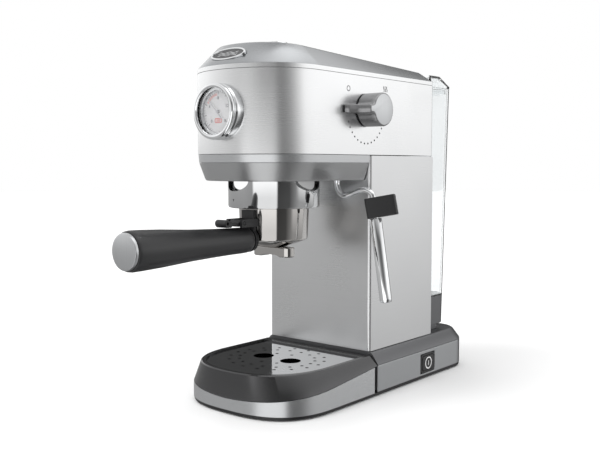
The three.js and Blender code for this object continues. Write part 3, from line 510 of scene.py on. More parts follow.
# Near-black material for strips in the clear tank's rear corners: painted shade standing in for the dark
# edges that clear plastic shows.
painted_edge_shade = moulded_plastic("painted_dark_edge_strip", (0.010, 0.010, 0.011), (0.014, 0.014, 0.015), 0.2)
tank_clear = clear_plastic("tank_plastic", (0.93, 0.945, 0.95), 1.45)
lens_clear = clear_plastic("gauge_glass", (1.0, 1.0, 1.0), 1.2, 0.01)
board = moulded_plastic("circuit_board", (0.02, 0.10, 0.05), (0.03, 0.14, 0.07), 0.4)
needle_pale = moulded_plastic("needle_paint", (0.62, 0.62, 0.64), (0.70, 0.70, 0.72), 0.4, 3000.0, 0.05)
ink_grey = printed("grey_ink", (0.22, 0.22, 0.24))
ink_dark = printed("dark_ink", (0.03, 0.03, 0.035))
ink_white = printed("white_ink", (0.78, 0.78, 0.78))
ink_red = printed("red_ink", (0.72, 0.24, 0.22))
ink_pink = printed("pink_ink", (0.80, 0.55, 0.54))
graphite_dark = moulded_plastic("badge_enamel", (0.045, 0.045, 0.047), (0.06, 0.06, 0.062), 0.3)
hollow_dark = moulded_plastic("dark_hollow", (0.004, 0.004, 0.004), (0.008, 0.008, 0.008), 0.8)


# ---------------------------------------------------------------- base
def build_base():
    ahead = block(-FAR, FAR, -FAR, SEAM, -10, 300)
    switch = block(58, 80, POWER_Y - POWER_LONG / 2 - GAP, POWER_Y + POWER_LONG / 2 + GAP,
                   POWER_Z - POWER_TALL / 2 - GAP, POWER_Z + POWER_TALL / 2 + GAP)
    gland_hole = spin(bar(6.5, 160, 180), "Y", (GLAND_X, 0, GLAND_Z), 48)
    outer, inner = outline(BASE), outline(shrink(BASE, 2))
    wall = ring_wall(at(outer, PANEL_LOW), at(outer, PANEL_TOP), at(inner, PANEL_TOP), at(inner, PANEL_LOW))
    behind = block(-FAR, FAR, PANEL_REAR, FAR, -10, 300)
    for side, away in (("left", block(0, FAR, -FAR, FAR, -10, 300)), ("right", block(-FAR, 0, -FAR, FAR,
                                                            -10, 300))):
        name = "base_panel_" + side
        piece(name, wall, silver, cuts=[ahead, behind, away, switch], bevel=0.6)

    inside = shrink(BASE, 2.4)
    shelf = PANEL_TOP + GAP
    lip, top = shrink(BASE, 0.3), shrink(BASE, DECK_CHAMFER)
    outer = loft(at(outline(inside), 5.5), at(outline(inside), shelf), at(outline(lip), shelf),
                 level(BASE, 0.45, shelf + 0.9), level(BASE, 7.2, DECK_Z - 1.3),
                 level(BASE, 8.9, DECK_Z - 0.2), level(top, 1.6, DECK_Z))
    hollow = loft(level(inside, 2.4, 0), level(inside, 2.4, shelf),
                  level(BASE, 9.5, DECK_Z - 2.4))
    front_wall = block(-FAR, FAR, -FAR, 3.8, -10, 300)
    rear_wall = carved(prism(outline(shrink(BASE, 0.3)), PANEL_LOW, shelf + 0.01),
                       block(-FAR, FAR, -FAR, PANEL_REAR + GAP, -10, 300))
    cavity = carved(hollow, front_wall)
    cuts = [cavity, block(-FAR, FAR, -FAR, SEAM + 0.2, -10, 300), switch, gland_hole]
    piece("base_rear_shell", outer, graphite, joins=[rear_wall], cuts=cuts, bevel=0.35, segments=2)

    skirt = [outline(shrink(BASE, inset)) for inset in (SKIRT_INSET + 1.2, SKIRT_INSET + 0.3, SKIRT_INSET)]
    pan = loft(at(skirt[0], SKIRT_LOW), at(skirt[1], SKIRT_LOW + 0.4), at(skirt[2], SKIRT_LOW + 1.2),
               at(skirt[2], SKIRT_TOP))
    piece("base_pan", pan, black, bevel=0)
    for place, (x, y) in FEET.items():
        foot = spin([(0, 0.35), (6.2, 0.35), (6.6, 0), (8.5, 0), (9, 0.5), (9, 0.79), (0, 0.79)], "Z",
                    (x, y, 0), 48)
        piece("foot_" + place, foot, rubber, bevel=0.15)

    gland = [(3.6, 168), (6.2, 168), (6.2, 174.3), (8.5, 174.3), (8.5, 175), (7.9, 175.6), (4.4, 175.6),
             (3.6, 174.6), (3.6, 168)]
    piece("cable_gland", spin(gland, "Y", (GLAND_X, 0, GLAND_Z), 64), rubber, bevel=0.2)
    build_power_switch()


def build_power_switch():
    def facing(points, low, high):
        return turned(prism(points, low, high), Matrix(((0, 0, 1, 0), (1, 0, 0, POWER_Y),
                                                        (0, 1, 0, POWER_Z), (0, 0, 0, 1))))
    half_long, half_tall = POWER_LONG / 2, POWER_TALL / 2
    frame_shape = facing(rounded_box(half_long, -half_tall, half_tall, 4), 60, 70.2)
    well = facing(rounded_box(half_long - 2, -half_tall + 2, half_tall - 2, 3), 62, 80)
    piece("switch_frame", frame_shape, black, stands_for=["switch_housing"], cuts=[well], bevel=0.4)
    cap = facing(rounded_box(half_long - 2.3, -half_tall + 2.3, half_tall - 2.3, 3), 65, POWER_FACE)
    piece("power_button", cap, black, "power_button", bevel=0.9, segments=5)
    ring = [(4.9, 0), (6.0, 0), (6.0, 0.12), (4.9, 0.12), (4.9, 0)]
    mark = merged(spin(ring, "X", (POWER_FACE - 0.04, POWER_Y, POWER_Z), 64),
                  block(POWER_FACE - 0.04, POWER_FACE + 0.08, POWER_Y - 0.4, POWER_Y + 0.4, POWER_Z - 2.2,
                        POWER_Z + 2.2))
    piece("power_mark", mark, ink_white, "power_button", bevel=0)


# ---------------------------------------------------------------- drip tray
def band_edge(lift):
    """Height of the silver band's top: it falls along the outline from the seam to the front."""
    points = outline(BASE)[:FRONT_STEPS + 1]
    steps = [math.dist(points[i], points[i + 1]) for i in range(FRONT_STEPS)]
    middle = FRONT_STEPS // 2
    whole = sum(steps[:middle]) - BASE["straight"]

    def height(x, y, i):
        if i > FRONT_STEPS:
            return BAND_REAR + lift
        away = sum(steps[i:middle]) if i <= middle else sum(steps[middle:i])
        return BAND_FRONT + (BAND_REAR - BAND_FRONT) * (away / whole) ** BAND_FALL + lift
    return height


def build_tray():
    plan = dict(BASE, rear=SEAM - GAP, corner=1)
    open_rear = block(-68, 68, -60, 200, -10, 300)
    band_end = block(-FAR, FAR, TRAY_END, FAR, -10, 300)
    outer, inner = outline(plan), outline(shrink(plan, 2))
    band = ring_wall(at(outer, PANEL_LOW), at(outer, band_edge(0)), at(inner, band_edge(0)),
                     at(inner, PANEL_LOW))
    piece("tray_band", band, silver_band, "drip_tray", cuts=[open_rear, band_end], bevel=0.5)

    body_plan = shrink(plan, 2.4, 0.4)
    mouth = shrink(RIM, 4.7, 11.2)
    lip = outline(RIM)
    body = loft(at(outline(body_plan), 5.5), at(outline(body_plan), band_edge(GAP)),
                level(plan, GAP, band_edge(GAP)),
                level(plan, 0.5, band_edge(1.1)), at(lip, RIM_Z - 0.9), level(RIM, 0.9, RIM_Z))
    cuts = [prism(outline(mouth), 33.6, 60), loft(level(mouth, 5, 8), level(mouth, 2.6, 34))]
    piece("drip_tray", body, tray_black, "drip_tray", cuts=cuts, bevel=0.35)

    holes = [spin(bar(DRAIN_R, 20, 50), "Z", (x, DRAIN_Y, 0), 72) for x in (-DRAIN_X, DRAIN_X)]
    for across, deep, count, start in DRAIN_RINGS:
        for i in range(count):
            angle = math.radians(start + 360 * i / count)
            x, y = across * math.cos(angle), deep * math.sin(angle)
            if math.hypot(abs(x) - DRAIN_X, y) > DRAIN_R + 2.6:
                holes.append(spin(bar(DRAIN_SMALL, 20, 50), "Z", (x, DRAIN_Y + y, 0), 20))
    plate = prism(outline(shrink(mouth, GAP)), GRID_LOW, GRID_TOP)
    piece("drip_grid", plate, steel_grid, "drip_grid", cuts=[merged(*holes)], bevel=0.35)


# ---------------------------------------------------------------- column and head
def build_column():
    outer = rounded_box(COLUMN_HALF, 0, COLUMN_DEPTH, 3.2, 0.6)
    inner = rounded_box(COLUMN_HALF - 1.5, 1.5, 200, 1.7, 0.6)
    piece("column_wrap", prism(outer, DECK_Z + GAP, COLUMN_TOP), steel_wrap_shaded,
          cuts=[prism(inner, 0, 300)], bevel=0.3)
    back = prism(rounded_box(COLUMN_HALF - 1.8, 104.5, 107, 0.5), DECK_Z + GAP, COLUMN_TOP)
    piece("column_back_plate", back, graphite, bevel=0.4)


def build_head():
    outer, inner = outline(HEAD), outline(shrink(HEAD, 1.5))
    low = HEAD_SEAM + GAP
    wall = ring_wall(at(outer, low), at(outer, HEAD_TOP), at(inner, HEAD_TOP), at(inner, low))
    gauge_hole = spin(bar(21.4, -160, -90), "Y", (0, 0, GAUGE_Z))
    stem_hole = spin(bar(4, 50, 70), "X", (0, KNOB_Y, KNOB_Z), 40)
    piece("head_wrap", wall, steel_head_lit, cuts=[gauge_hole, stem_hole], bevel=0.3)

    plan = dict(HEAD, rear=-0.6, corner=0.5)
    open_rear = block(-58, 58, -40, 200, 100, 300)
    outer_low, outer_top = outline(shrink(plan, 0.9, 0)), outline(shrink(plan, 0.3, 0))
    inner = outline(shrink(plan, 3))
    band = ring_wall(at(outer_low, HEAD_BAND + 0.1), at(outer_top, HEAD_SEAM), at(inner, HEAD_SEAM),
                     at(inner, HEAD_BAND + 0.1))
    piece("head_trim_band", band, silver_band, cuts=[open_rear], bevel=0.35)

    lower = loft(level(plan, HEAD_TAPER + 1.2, HEAD_LOW, 0.8), level(plan, HEAD_TAPER + 0.2, HEAD_LOW + 0.4,
                                                            0.5),
                 level(plan, HEAD_TAPER - 0.6, HEAD_LOW + 1.6, 0.5),
                 level(plan, 1, HEAD_BAND - 0.2, 0), level(plan, 3.3, HEAD_BAND - 0.2, 0),
                 level(plan, 3.3, HEAD_SEAM - GAP, 0))
    hollow = loft(level(plan, HEAD_TAPER + 2.4, HEAD_LOW + 2.4, 2.4), level(plan, 5.7, HEAD_BAND - 1, 2.4),
                  level(plan, 5.7, 260, 2.4))
    neck_hole = spin(bar(20, 190, 205), "Z", (0, GROUP_Y, 0), 64)
    wand_hole = spin(bar(3.1, 190, 202), "Z", (WAND_X, WAND_Y, 0), 48)
    piece("head_lower_shell", lower, head_grey, cuts=[hollow, neck_hole, wand_hole], bevel=0.3)
    build_knob_marks()


def build_knob_marks():
    """Printed dots round the knob, a ring for off and three wavy lines for steam."""
    face = HEAD["half"]
    marks = [spin(bar(0.85, face - 0.02, face + 0.08), "X",
                  (0, KNOB_Y + 27.7 * math.cos(a), KNOB_Z - 1.6 + 27.7 * math.sin(a)), 16)
             for a in (math.radians(-161 + 11 * i) for i in range(13))]
    marks.append(spin([(1.9, face - 0.02), (2.5, face - 0.02), (2.5, face + 0.08), (1.9, face + 0.08),
                       (1.9, face - 0.02)],
                      "X", (0, -34, 278), 32))
    for k in range(3):
        path = [Vector((face, 20.2 + 2.4 * k + 0.6 * math.sin(2 * math.pi * t / 10), 278.5 + 0.5 * t))
                for t in range(11)]
        marks.append(sweep(path, 0.28, 8))
    piece("knob_scale", merged(*marks), ink_dark, bevel=0)


def roof(lift):
    return lambda x, y, i: COVER_TOP + lift - COVER_SLOPE * (y - HEAD["front"] - COVER_CHAMFER)


def build_cover():
    def ring(inset, z):
        return level(HEAD, inset, z, 0)

    def slope(share):
        """Height on the chamfer, a share of the way from the band to the roof."""
        return lambda x, y, i: COVER_BAND + (roof(0)(x, y, i) - COVER_BAND) * share
    outer = loft(ring(0, COVER_LOW), ring(0, COVER_BAND - 0.3), ring(0.3, slope(0.035)),
                 ring(COVER_CHAMFER * 0.93, slope(0.935)), ring(COVER_CHAMFER,
                                                            slope(0.985)), ring(COVER_CHAMFER + 1.2,
                                                            roof(0)))
    hollow = loft(level(HEAD, 2.4, 280), level(HEAD, 2.4, COVER_BAND),
                  level(HEAD, 13.9, SEAT_Z - 2.4, 2.4))
    seat = prism(rounded_box(PLATE_HALF, PLATE_FRONT, PLATE_REAR, 8), SEAT_Z, 400)
    wells = [spin(bar(BUTTON_R + GAP, 290, 330), "Z", (x, BUTTON_Y, 0), 64)
             for x in (-BUTTON_PITCH, 0, BUTTON_PITCH)]
    lean = math.atan2(COVER_TOP - COVER_BAND, COVER_CHAMFER)
    place = Matrix.Translation((0, HEAD["front"] + COVER_CHAMFER / 2,
                                (COVER_BAND + COVER_TOP) / 2)) @ Matrix.Rotation(lean, 4, "X")

    def oval(across, tall, low, high):
        points = [(across * math.cos(a), tall * math.sin(a))
                  for a in (2 * math.pi * i / 96 for i in range(96))]
        return turned(prism(points, low, high), place)
    piece("top_cover", outer, steel_lid, cuts=[hollow, seat, *wells, oval(20.0, 7.6, -2.5, 20)], bevel=0.3)
    piece("badge_rim", oval(19.4, 7.4, -2.2, 0.8), chrome, stands_for=["badge_plate"],
          cuts=[oval(17.6, 5.7, -0.2, 5)], bevel=0.45)
    piece("badge_field", oval(17.5, 5.6, -0.18, 0.1), graphite_dark, bevel=0.1)
    ripple = [[(-11 + t * 1.1, 1.6 * row + 0.7 * math.sin(t * 0.63 + row), 0.12) for t in range(21)]
              for row in (-1, 0, 1)]
    waves = [turned(sweep(smooth_path(row, 2), 0.22, 8), place) for row in ripple]
    piece("badge_waves", merged(*waves), chrome, bevel=0)
    sides = ring_wall(*[ring(inset, z) for inset, z in ((-0.05, COVER_LOW), (-0.05, COVER_BAND + 0.2),
                                                        (0.9, COVER_BAND + 0.2), (0.9, COVER_LOW))])
    piece("cover_band", sides, steel_head_lit, bevel=0.1)

    plate = prism(rounded_box(PLATE_HALF - GAP, PLATE_FRONT + GAP, PLATE_REAR - GAP, 7.7), SEAT_Z + GAP,
                  SEAT_Z + 2.2)
    slots = [prism([(x + u, y) for u, y in rounded_box(2, -42, 82, 1.99)], 290, 320)
             for x in (-28, -14, 0, 14, 28)]
    piece("cup_plate", plate, steel_plate, cuts=slots, bevel=0.4)
    for k, name in enumerate(("button_one_cup", "button_two_cups", "button_steam")):
        x = (k - 1) * BUTTON_PITCH
        cap = [(0, 294), (3, 294), (3, 305), (9, 305), (9, BUTTON_TOP - 0.9), (8.4, BUTTON_TOP - 0.25),
               (7.2, BUTTON_TOP),
               (6.6, BUTTON_TOP - 0.35), (0, BUTTON_TOP - 0.5)]
        piece(name, spin(cap, "Z", (x, BUTTON_Y, 0)), chrome, name, bevel=0.12)
        top = BUTTON_TOP - 0.5
        if k < 2:
            cups = [(-1.9, 1), (1.9, 1)] if k else [(0, 1)]
            marks = [spin([(0, top), (1.1, top), (1.5, top + 0.12), (0, top + 0.12)], "Z",
                          (x + u, BUTTON_Y, 0), 24) for u, _ in cups]
        else:
            marks = [sweep([Vector((x - 1.6 + 1.6 * j + 0.4 * math.sin(t * 0.7), BUTTON_Y - 2.5 + 0.5 * t,
                                    top + 0.05))
                            for t in range(11)], 0.22, 8) for j in range(3)]
        piece(name + "_mark", merged(*marks), ink_dark, name, bevel=0)


# ---------------------------------------------------------------- gauge and knob
def build_gauge():
    centre = (0, 0, GAUGE_Z)
    face = GAUGE_FACE
    ring = [(19.4, face + 1.6), (19.4, face + 0.7), (20.2, face + 0.1), (21.2, face), (22.4, face + 0.25),
            (23.1, face + 1.0),
            (23.4, face + 2.2), (23.2, face + 3.4), (22.5, face + 4.2), (22.3, face + 4.8), (22.6,
                                                            face + 5.4), (23.2, face + 6.0),
            (23.4, face + 7.0), (23.4, -122), (21.4, -122), (21.4, face + 1.6), (19.4, face + 1.6)]
    front = prism(outline(shrink(HEAD, -0.3)), 200, 300)
    piece("gauge_bezel", spin(ring, "Y", centre, 128), chrome, cuts=[front], bevel=0.12, angle=40)
    lens = [(0, face + 1.9), (17, face + 1.9), (20.9, face + 2.1), (20.9, face + 2.9), (0, face + 2.9)]
    piece("gauge_lens", spin(lens, "Y", centre), lens_clear, bevel=0)
    case = [(0, -106), (20, -106), (20, -134.5), (21, -134.5), (21, -105), (0, -105)]
    piece("gauge_case", spin(case, "Y", centre), hollow_dark, bevel=0.2)
    card = [(1.4, -131.5), (19.6, -131.5), (19.6, -130.6), (1.4, -130.6), (1.4, -131.5)]
    piece("gauge_dial", spin(card, "Y", centre), dial_face, bevel=0)
    flange = [(17.2, -133.9), (19.9, -134.4), (19.9, -131.6), (17.2, -131.6), (17.2, -133.9)]
    piece("gauge_inner_ring", spin(flange, "Y", centre), silver_band, bevel=0.15)
    build_dial_print()
    needle = extrude([(-8.4, -0.5), (14.9, -0.28), (14.9, 0.28), (-8.4, 0.5)], "XZ", -134.4, -133.7)
    turn = Matrix.Translation((0, 0, GAUGE_Z)) @ Matrix.Rotation(-math.radians(133), 4, "Y")
    hub = [(0, -134.8), (1.0, -134.8), (1.3, -134.6), (1.3, -133.5), (1, -133.5), (1, -126), (0, -126)]
    piece("gauge_pointer", turned(needle, turn), needle_pale, "gauge_needle",
          joins=[spin(hub, "Y", centre, 40)], bevel=0.06)


def build_dial_print():
    """Ticks and numbers over 270 degrees, clockwise from the lower left, and a pale red zone."""
    low, high = -131.62, -131.49
    ticks = []
    for i in range(33):
        angle = math.radians(225 - 270 * i / 32)
        inner, wide = (14.2, 0.22) if i % 4 == 0 else (15.4, 0.11)
        tick = [(inner, -wide), (16.6, -wide), (16.6, wide), (inner, wide)]
        ticks.append(turned(extrude(tick, "XZ", low, high),
                            Matrix.Translation((0, 0, GAUGE_Z)) @ Matrix.Rotation(-angle, 4, "Y")))
    piece("dial_ticks", merged(*ticks), ink_grey, bevel=0)

    def zone(first, last, inner, outer, material, name):
        band = arc(0, 0, inner, first, last, 24) + arc(0, 0, outer, last, first, 24)
        shape = extrude(band, "XZ", low + 0.03, high)
        piece(name, moved(shape, z=GAUGE_Z), material, bevel=0)
    zone(150, 95, 13.0, 15.0, ink_pink, "dial_zone")
    for i in range(5):
        angle = math.radians(225 - 270 * i / 4)
        number("dial_number_%d" % (4 * i), str(4 * i), 11.0 * math.cos(angle),
               GAUGE_Z + 11.0 * math.sin(angle), low)
    patch = moved(extrude(rounded_box(4.2, -2.0, 2.0, 1.5), "XZ", low + 0.03, high), z=GAUGE_Z - 7.4)
    middle = moved(extrude(rounded_box(3.5, -1.3, 1.3, 0.9), "XZ", low - 1, high + 1), z=GAUGE_Z - 7.4)
    piece("dial_mark", patch, ink_red, cuts=[middle], bevel=0)
    bars = [moved(extrude(rounded_box(2.4, -0.3, 0.3, 0.2), "XZ", low + 0.03, high),
                  z=GAUGE_Z - 7.4 + lift) for lift in (-0.5, 0.5)]
    piece("dial_bars", merged(*bars), ink_red, bevel=0)


def number(name, text, x, z, y):
    curve = bpy.data.curves.new(name, "FONT")
    curve.body = text
    curve.size = 3.6 * MM
    curve.align_x = curve.align_y = "CENTER"
    curve.extrude = 0.05 * MM
    temporary = bpy.data.objects.new(name + "_text", curve)
    bpy.context.collection.objects.link(temporary)
    mesh = bpy.data.meshes.new_from_object(temporary.evaluated_get(bpy.context.evaluated_depsgraph_get()))
    bpy.data.objects.remove(temporary)
    mesh.transform(Matrix.Translation(Vector((x, y, z)) * MM + SHIFT) @ Matrix.Rotation(math.pi / 2, 4,
                                                            "X"))
    obj = bpy.data.objects.new(name, mesh)
    bpy.context.collection.objects.link(obj)
    mesh.materials.clear()
    mesh.materials.append(ink_grey)
    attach(obj, "machine")


def teardrop(radius, tip):
    """Outline of the knob: a circle that runs into the lever on the left through hollow fillets."""
    half, fillet, lift = 3.6 - (KNOB_R - radius), 5.0, 0.4
    reach = math.sqrt((radius + fillet) ** 2 - (half + fillet) ** 2)
    touch = math.atan2(half + fillet, -reach)
    circle = [(radius * math.cos(a), radius * math.sin(a)) for a in (-touch + 2 * touch * i / 72
                                                            for i in range(73))]
    start = touch - math.pi
    upper = [(-reach + fillet * math.cos(a), half + fillet + fillet * math.sin(a))
             for a in (start + (-math.pi / 2 - start) * i / 12 for i in range(1, 13))]
    lower = [(u, -v) for u, v in reversed(upper)]
    points = circle + upper + [(tip + 0.6, half), (tip, half - 0.6), (tip, -half + 0.6),
                               (tip + 0.6, -half)] + lower
    return [(u, v + lift) for u, v in points]


def build_knob():
    centre = (0, KNOB_Y, KNOB_Z)
    wall, face, radius = KNOB_WALL, KNOB_FACE, KNOB_R
    depths = [(wall, -33.5, 0), (wall + 2.6, -33.4, 0), (wall + 4.4, -31.4, 0), (wall + 6.4, -27.6, 0),
              (wall + 9.6, -24.4, 0),
              (wall + 13.4, -21.9, 0), (face - 1.7, -20.6, 0), (face - 0.6, -20.2, 0.35), (face - 0.1,
                                                            -19.4, 1.0)]
    rings = [[(x, KNOB_Y + u, KNOB_Z + v) for u, v in teardrop(radius - inset, tip)] for x, tip,
             inset in depths]
    stem = spin(bar(3, 47, wall + 1), "X", centre, 32)
    piece("steam_knob", loft(*rings), knob_paint, "steam_knob", joins=[stem], bevel=0.25, angle=50)
    cap = [[(x, KNOB_Y + u, KNOB_Z + v) for u, v in teardrop(radius - inset, tip)]
           for x, inset, tip in ((face - 0.4, 1.3, -19.1), (face - 0.05, 1.3, -19.1), (face, 1.5, -18.9))]
    piece("knob_cap", loft(*cap), satin_face, "steam_knob", bevel=0)
    collar = [(4.2, 61.1), (9.5, 61.1), (9.5, 61.9), (4.2, 61.9), (4.2, 61.1)]
    piece("knob_collar", spin(collar, "X", centre), black, bevel=0.15)


# ---------------------------------------------------------------- brew group and portafilter
def sector(inner, outer, centre, half_angle, low, high):
    first, last = centre - half_angle, centre + half_angle
    points = arc(0, 0, outer, first, last, 12) + arc(0, 0, inner, last, first, 12)
    return moved(prism(points, low, high), 0, GROUP_Y)


def build_group():
    ring = [(RING_LIP, RING_LOW), (RING_R - 2.0, RING_LOW), (RING_R - 0.6, RING_LOW + 0.5),
            (RING_R, RING_LOW + 1.8), (RING_R, RING_TOP),
            (RING_BORE, RING_TOP), (RING_BORE, RING_LOW + 2.9), (RING_LIP, RING_LOW + 2.9), (RING_LIP,
                                                            RING_LOW)]
    half_turn = [math.pi * (1 + i / 32) for i in range(33)]
    arch = [(-WINDOW_HALF, 20), *[(WINDOW_HALF * math.cos(a), WINDOW_DEPTH * math.sin(a))
                                  for a in half_turn], (WINDOW_HALF, 20)]
    windows = []
    for angle in WINDOW_ANGLES:
        window = moved(extrude(arch, "XZ", 30, 50), z=RING_TOP)
        windows.append(turned(window, Matrix.Translation((0, GROUP_Y,
                                                          0)) @ Matrix.Rotation(math.radians(angle - 90), 4,
                                                            "Z")))
    entries = [sector(RING_LIP - 3, RING_BORE + 0.5, angle, 17, RING_LOW - 1, RING_LOW + 3)
               for angle in (-45, 135)]
    piece("group_ring", spin(ring, "Z", (0, GROUP_Y, 0), 144), ring_chrome_shaded, cuts=[*windows, *entries],
          bevel=0.25, angle=35)
    core = [(0, 184), (34.8, 184), (35.8, 185), (35.8, 187.2), (35.2, 187.8), (19.5, 188.6), (19.5, 221.5),
            (0, 221.5)]
    piece("group_head", spin(core, "Z", (0, GROUP_Y, 0)), ring_chrome_shaded, bevel=0.3)
    angle = math.radians(WINDOW_ANGLES[1])
    spot = Vector((RING_R * math.cos(angle), GROUP_Y + RING_R * math.sin(angle), 181))
    mark = extrude([(-1.3, 1.1), (0, -1.1), (1.3, 1.1)], "XZ", -0.06, 0.25)
    piece("lock_mark", turned(mark, Matrix.Translation(spot) @ Matrix.Rotation(angle + math.pi / 2, 4,
                                                            "Z")), ink_dark, bevel=0)
    gasket = [(27, 181.6), (33, 181.6), (33, 183.7), (27, 183.7), (27, 181.6)]
    piece("group_gasket", spin(gasket, "Z", (0, GROUP_Y, 0)), rubber, bevel=0.3)
    screen = [(0, 181.6), (25.2, 181.6), (26.5, 182.4), (26.5, 183.7), (0, 183.7)]
    piece("shower_screen", spin(screen, "Z", (0, GROUP_Y, 0)), steel_plate, bevel=0.2)


def build_portafilter():
    here = (0, GROUP_Y, 0)
    cup = [(4, 139.3), (11, 139.3), (13, 139.6), (28.6, 145.1), (29.9, 146.1), (30.3, 147.5), (31.25, 171),
           (31.25, 180), (28.8, 180),
           (28.8, 152), (4, 148.5), (4, 139.3)]
    lugs = [sector(30.2, 35.6, angle, 13, 177.3, 180) for angle in (0, 180)]
    piece("portafilter_cup", spin(cup, "Z", here, 128), cup_chrome_shaded, "portafilter", joins=lugs, bevel=0.3,
          angle=40)
    basket = [(0, 154), (26.5, 154), (27.8, 154.8), (28.4, 157), (28.4, 180.3), (30.6, 180.3), (30.6, 181),
              (27.8, 181), (27.8, 157.2),
              (26.2, 154.8), (0, 154.8)]
    piece("filter_basket", spin(basket, "Z", here), steel_plate, "portafilter", bevel=0)
    bar_plan = rounded_box(22, GROUP_Y - 6.5, GROUP_Y + 6.5, 6.2)
    inner_plan = rounded_box(21, GROUP_Y - 5.5, GROUP_Y + 5.5, 5.2)
    arch = [(-12, 129), (12, 129), (9.5, 131.2), (6, 132), (-6, 132), (-9.5, 131.2)]
    cuts = [spin(bar(3.4, 120, 133), "Z", (x, GROUP_Y, 0), 40) for x in (-15.6, 15.6)]
    cuts.append(moved(extrude(arch, "XZ", -20, 20), y=GROUP_Y))
    body = loft(at(inner_plan, 130), at(bar_plan, 130.9), at(bar_plan, 138.2), at(inner_plan, 139.1))
    piece("spout", body, cup_chrome_shaded, "portafilter", cuts=cuts, bevel=0.3, angle=40)

    around = spin(bar(31.65, 100, 300), "Z", here, 128)
    neck = block(-7, 7, -97.5, -85, 154, 172.8)
    ears = [block(x, x + 2.6, -113.9, -92, 158.9, 165.6) for x in (-9.4, 6.8)]
    ribs = [(0, -97.5), (10.3, -97.5), (10.6, -97.1), (10.6, -96.2), (9.4, -95.9), (9.4, -95.3),
            (10.2, -95), (10.2, -94),
            (8.9, -93.7), (8.9, -93.1), (9.6, -92.8), (9.6, -91.8), (8.4, -91.5), (8.4, -88), (0, -88)]
    pin_hole = spin(bar(1.7, -15, 15), "X", (0, CLIP_Y, CLIP_Z), 32)
    piece("portafilter_neck", neck, black, "portafilter", joins=[*ears, spin(ribs, "Y", (0, 0, HANDLE_Z),
                                                            64)],
          cuts=[around, pin_hole], bevel=0.5, angle=35)
    grip = [(0, -228), (14.8, -228), (15.5, -227.2), (15.9, -224.5), (15.75, -216), (14.9, -196),
            (12.9, -165), (11.9, -140),
            (11.35, -120), (11.2, -108), (11.0, -102), (10.6, -99.4), (9.8, -98.2), (8.4, -97.8), (0,
                                                            -97.8)]
    piece("handle", spin(grip, "Y", (0, 0, HANDLE_Z), 96), handle_black, "portafilter", bevel=0.4, angle=40)
    disc = [(0, -231.2), (12.9, -231.2), (14.0, -230.9), (14.4, -230.2), (14.4, -228.3), (0, -228.3)]
    piece("handle_cap", spin(disc, "Y", (0, 0, HANDLE_Z)), satin_face, "portafilter", bevel=0.15)
    build_clip()


def build_clip():
    pivot_end = arc(CLIP_Y, CLIP_Z, CLIP_R, -90, 140, 24)
    thumb = arc(THUMB_Y, THUMB_Z, THUMB_R, 20, 235, 22)
    under = [(-128.6, 159.2), (-123.4, 159.2), (-122, 160.6), (-117, 160.6), (-115, 159.5)]
    shape = extrude([*pivot_end, (-115, 162.6), (-123, 162.6), *thumb, *under], "YZ", -CLIP_HALF, CLIP_HALF)
    hole = spin(bar(1.3, -15, 15), "X", (0, THUMB_Y, THUMB_Z), 32)
    pin = spin(bar(1.4, -9.4, 9.4), "X", (0, CLIP_Y, CLIP_Z), 32)
    piece("basket_clip", shape, black, "basket_clip", joins=[pin], cuts=[hole], bevel=0.5, angle=40)


# ---------------------------------------------------------------- steam wand
def build_wand():
    tilt = math.radians(ARM_TILT)
    reach = ARM_LENGTH - 2.2
    bend = [(WAND_X, BALL_Z), (WAND_X, 198), (WAND_X + 0.2, 193.7), (42.8, 188.7), (45.6, 185.7),
            (49.1, 184.6), (56.7, 186.4),
            (63.5, 188.5), (68.9, 189.8), (73.6, 189.4), (77.2, 187.8), (79.2, 186.1), (79.95,
                                                            184.5), (ARM_X, ARM_Z)]
    path = smooth_path([(x, WAND_Y, z) for x, z in bend])
    path.append(Vector((ARM_X + reach * math.sin(tilt), WAND_Y, ARM_Z - reach * math.cos(tilt))))
    ball = spin([(5.5 * math.sin(math.pi * i / 24), -5.5 * math.cos(math.pi * i / 24))
                 if 0 < i < 24 else (0, -5.5 + 11 * (i // 24))
                 for i in range(25)], "Z", (WAND_X, WAND_Y, BALL_Z), 48)
    piece("wand_tube", sweep(path, 2.5), chrome, "steam_wand", joins=[ball], bevel=0)

    arm = Matrix.Translation((ARM_X, WAND_Y, ARM_Z)) @ Matrix.Rotation(-tilt, 4, "Y")
    bore = turned(spin(bar(2.8, -60, 10), "Z", (0, 0, 0), 48), arm)
    turn = arm @ Matrix.Rotation(math.radians(29), 4, "Z") @ Matrix.Rotation(-math.radians(2.5), 4, "Y")
    body = turned(moved(prism(rounded_box(13.4, -7, 7, 2.5), -16.9, 0.8), 5.9), turn)
    piece("wand_grip", body, black, "steam_wand", cuts=[bore], bevel=0.7, segments=4)
    foot, top = -ARM_LENGTH, -17.5
    sleeve = [(1.2, foot), (3.4, foot), (4.6, foot + 0.5), (5.2, foot + 1.6), (5.3, foot + 3),
              (5.3, top - 0.6), (5.0, top), (2.8, top),
              (2.8, foot + 1.8), (1.2, foot + 1.8), (1.2, foot)]
    vent = turned(spin(bar(0.8, -10, 0), "Y", (0, 0, 0), 24), Matrix.Translation((-3.4, 0, -26)))
    vent = turned(vent, arm)
    piece("wand_sleeve", turned(spin(sleeve, "Z", (0, 0, 0), 64), arm), chrome, "wand_sleeve", cuts=[vent],
          bevel=0.12)


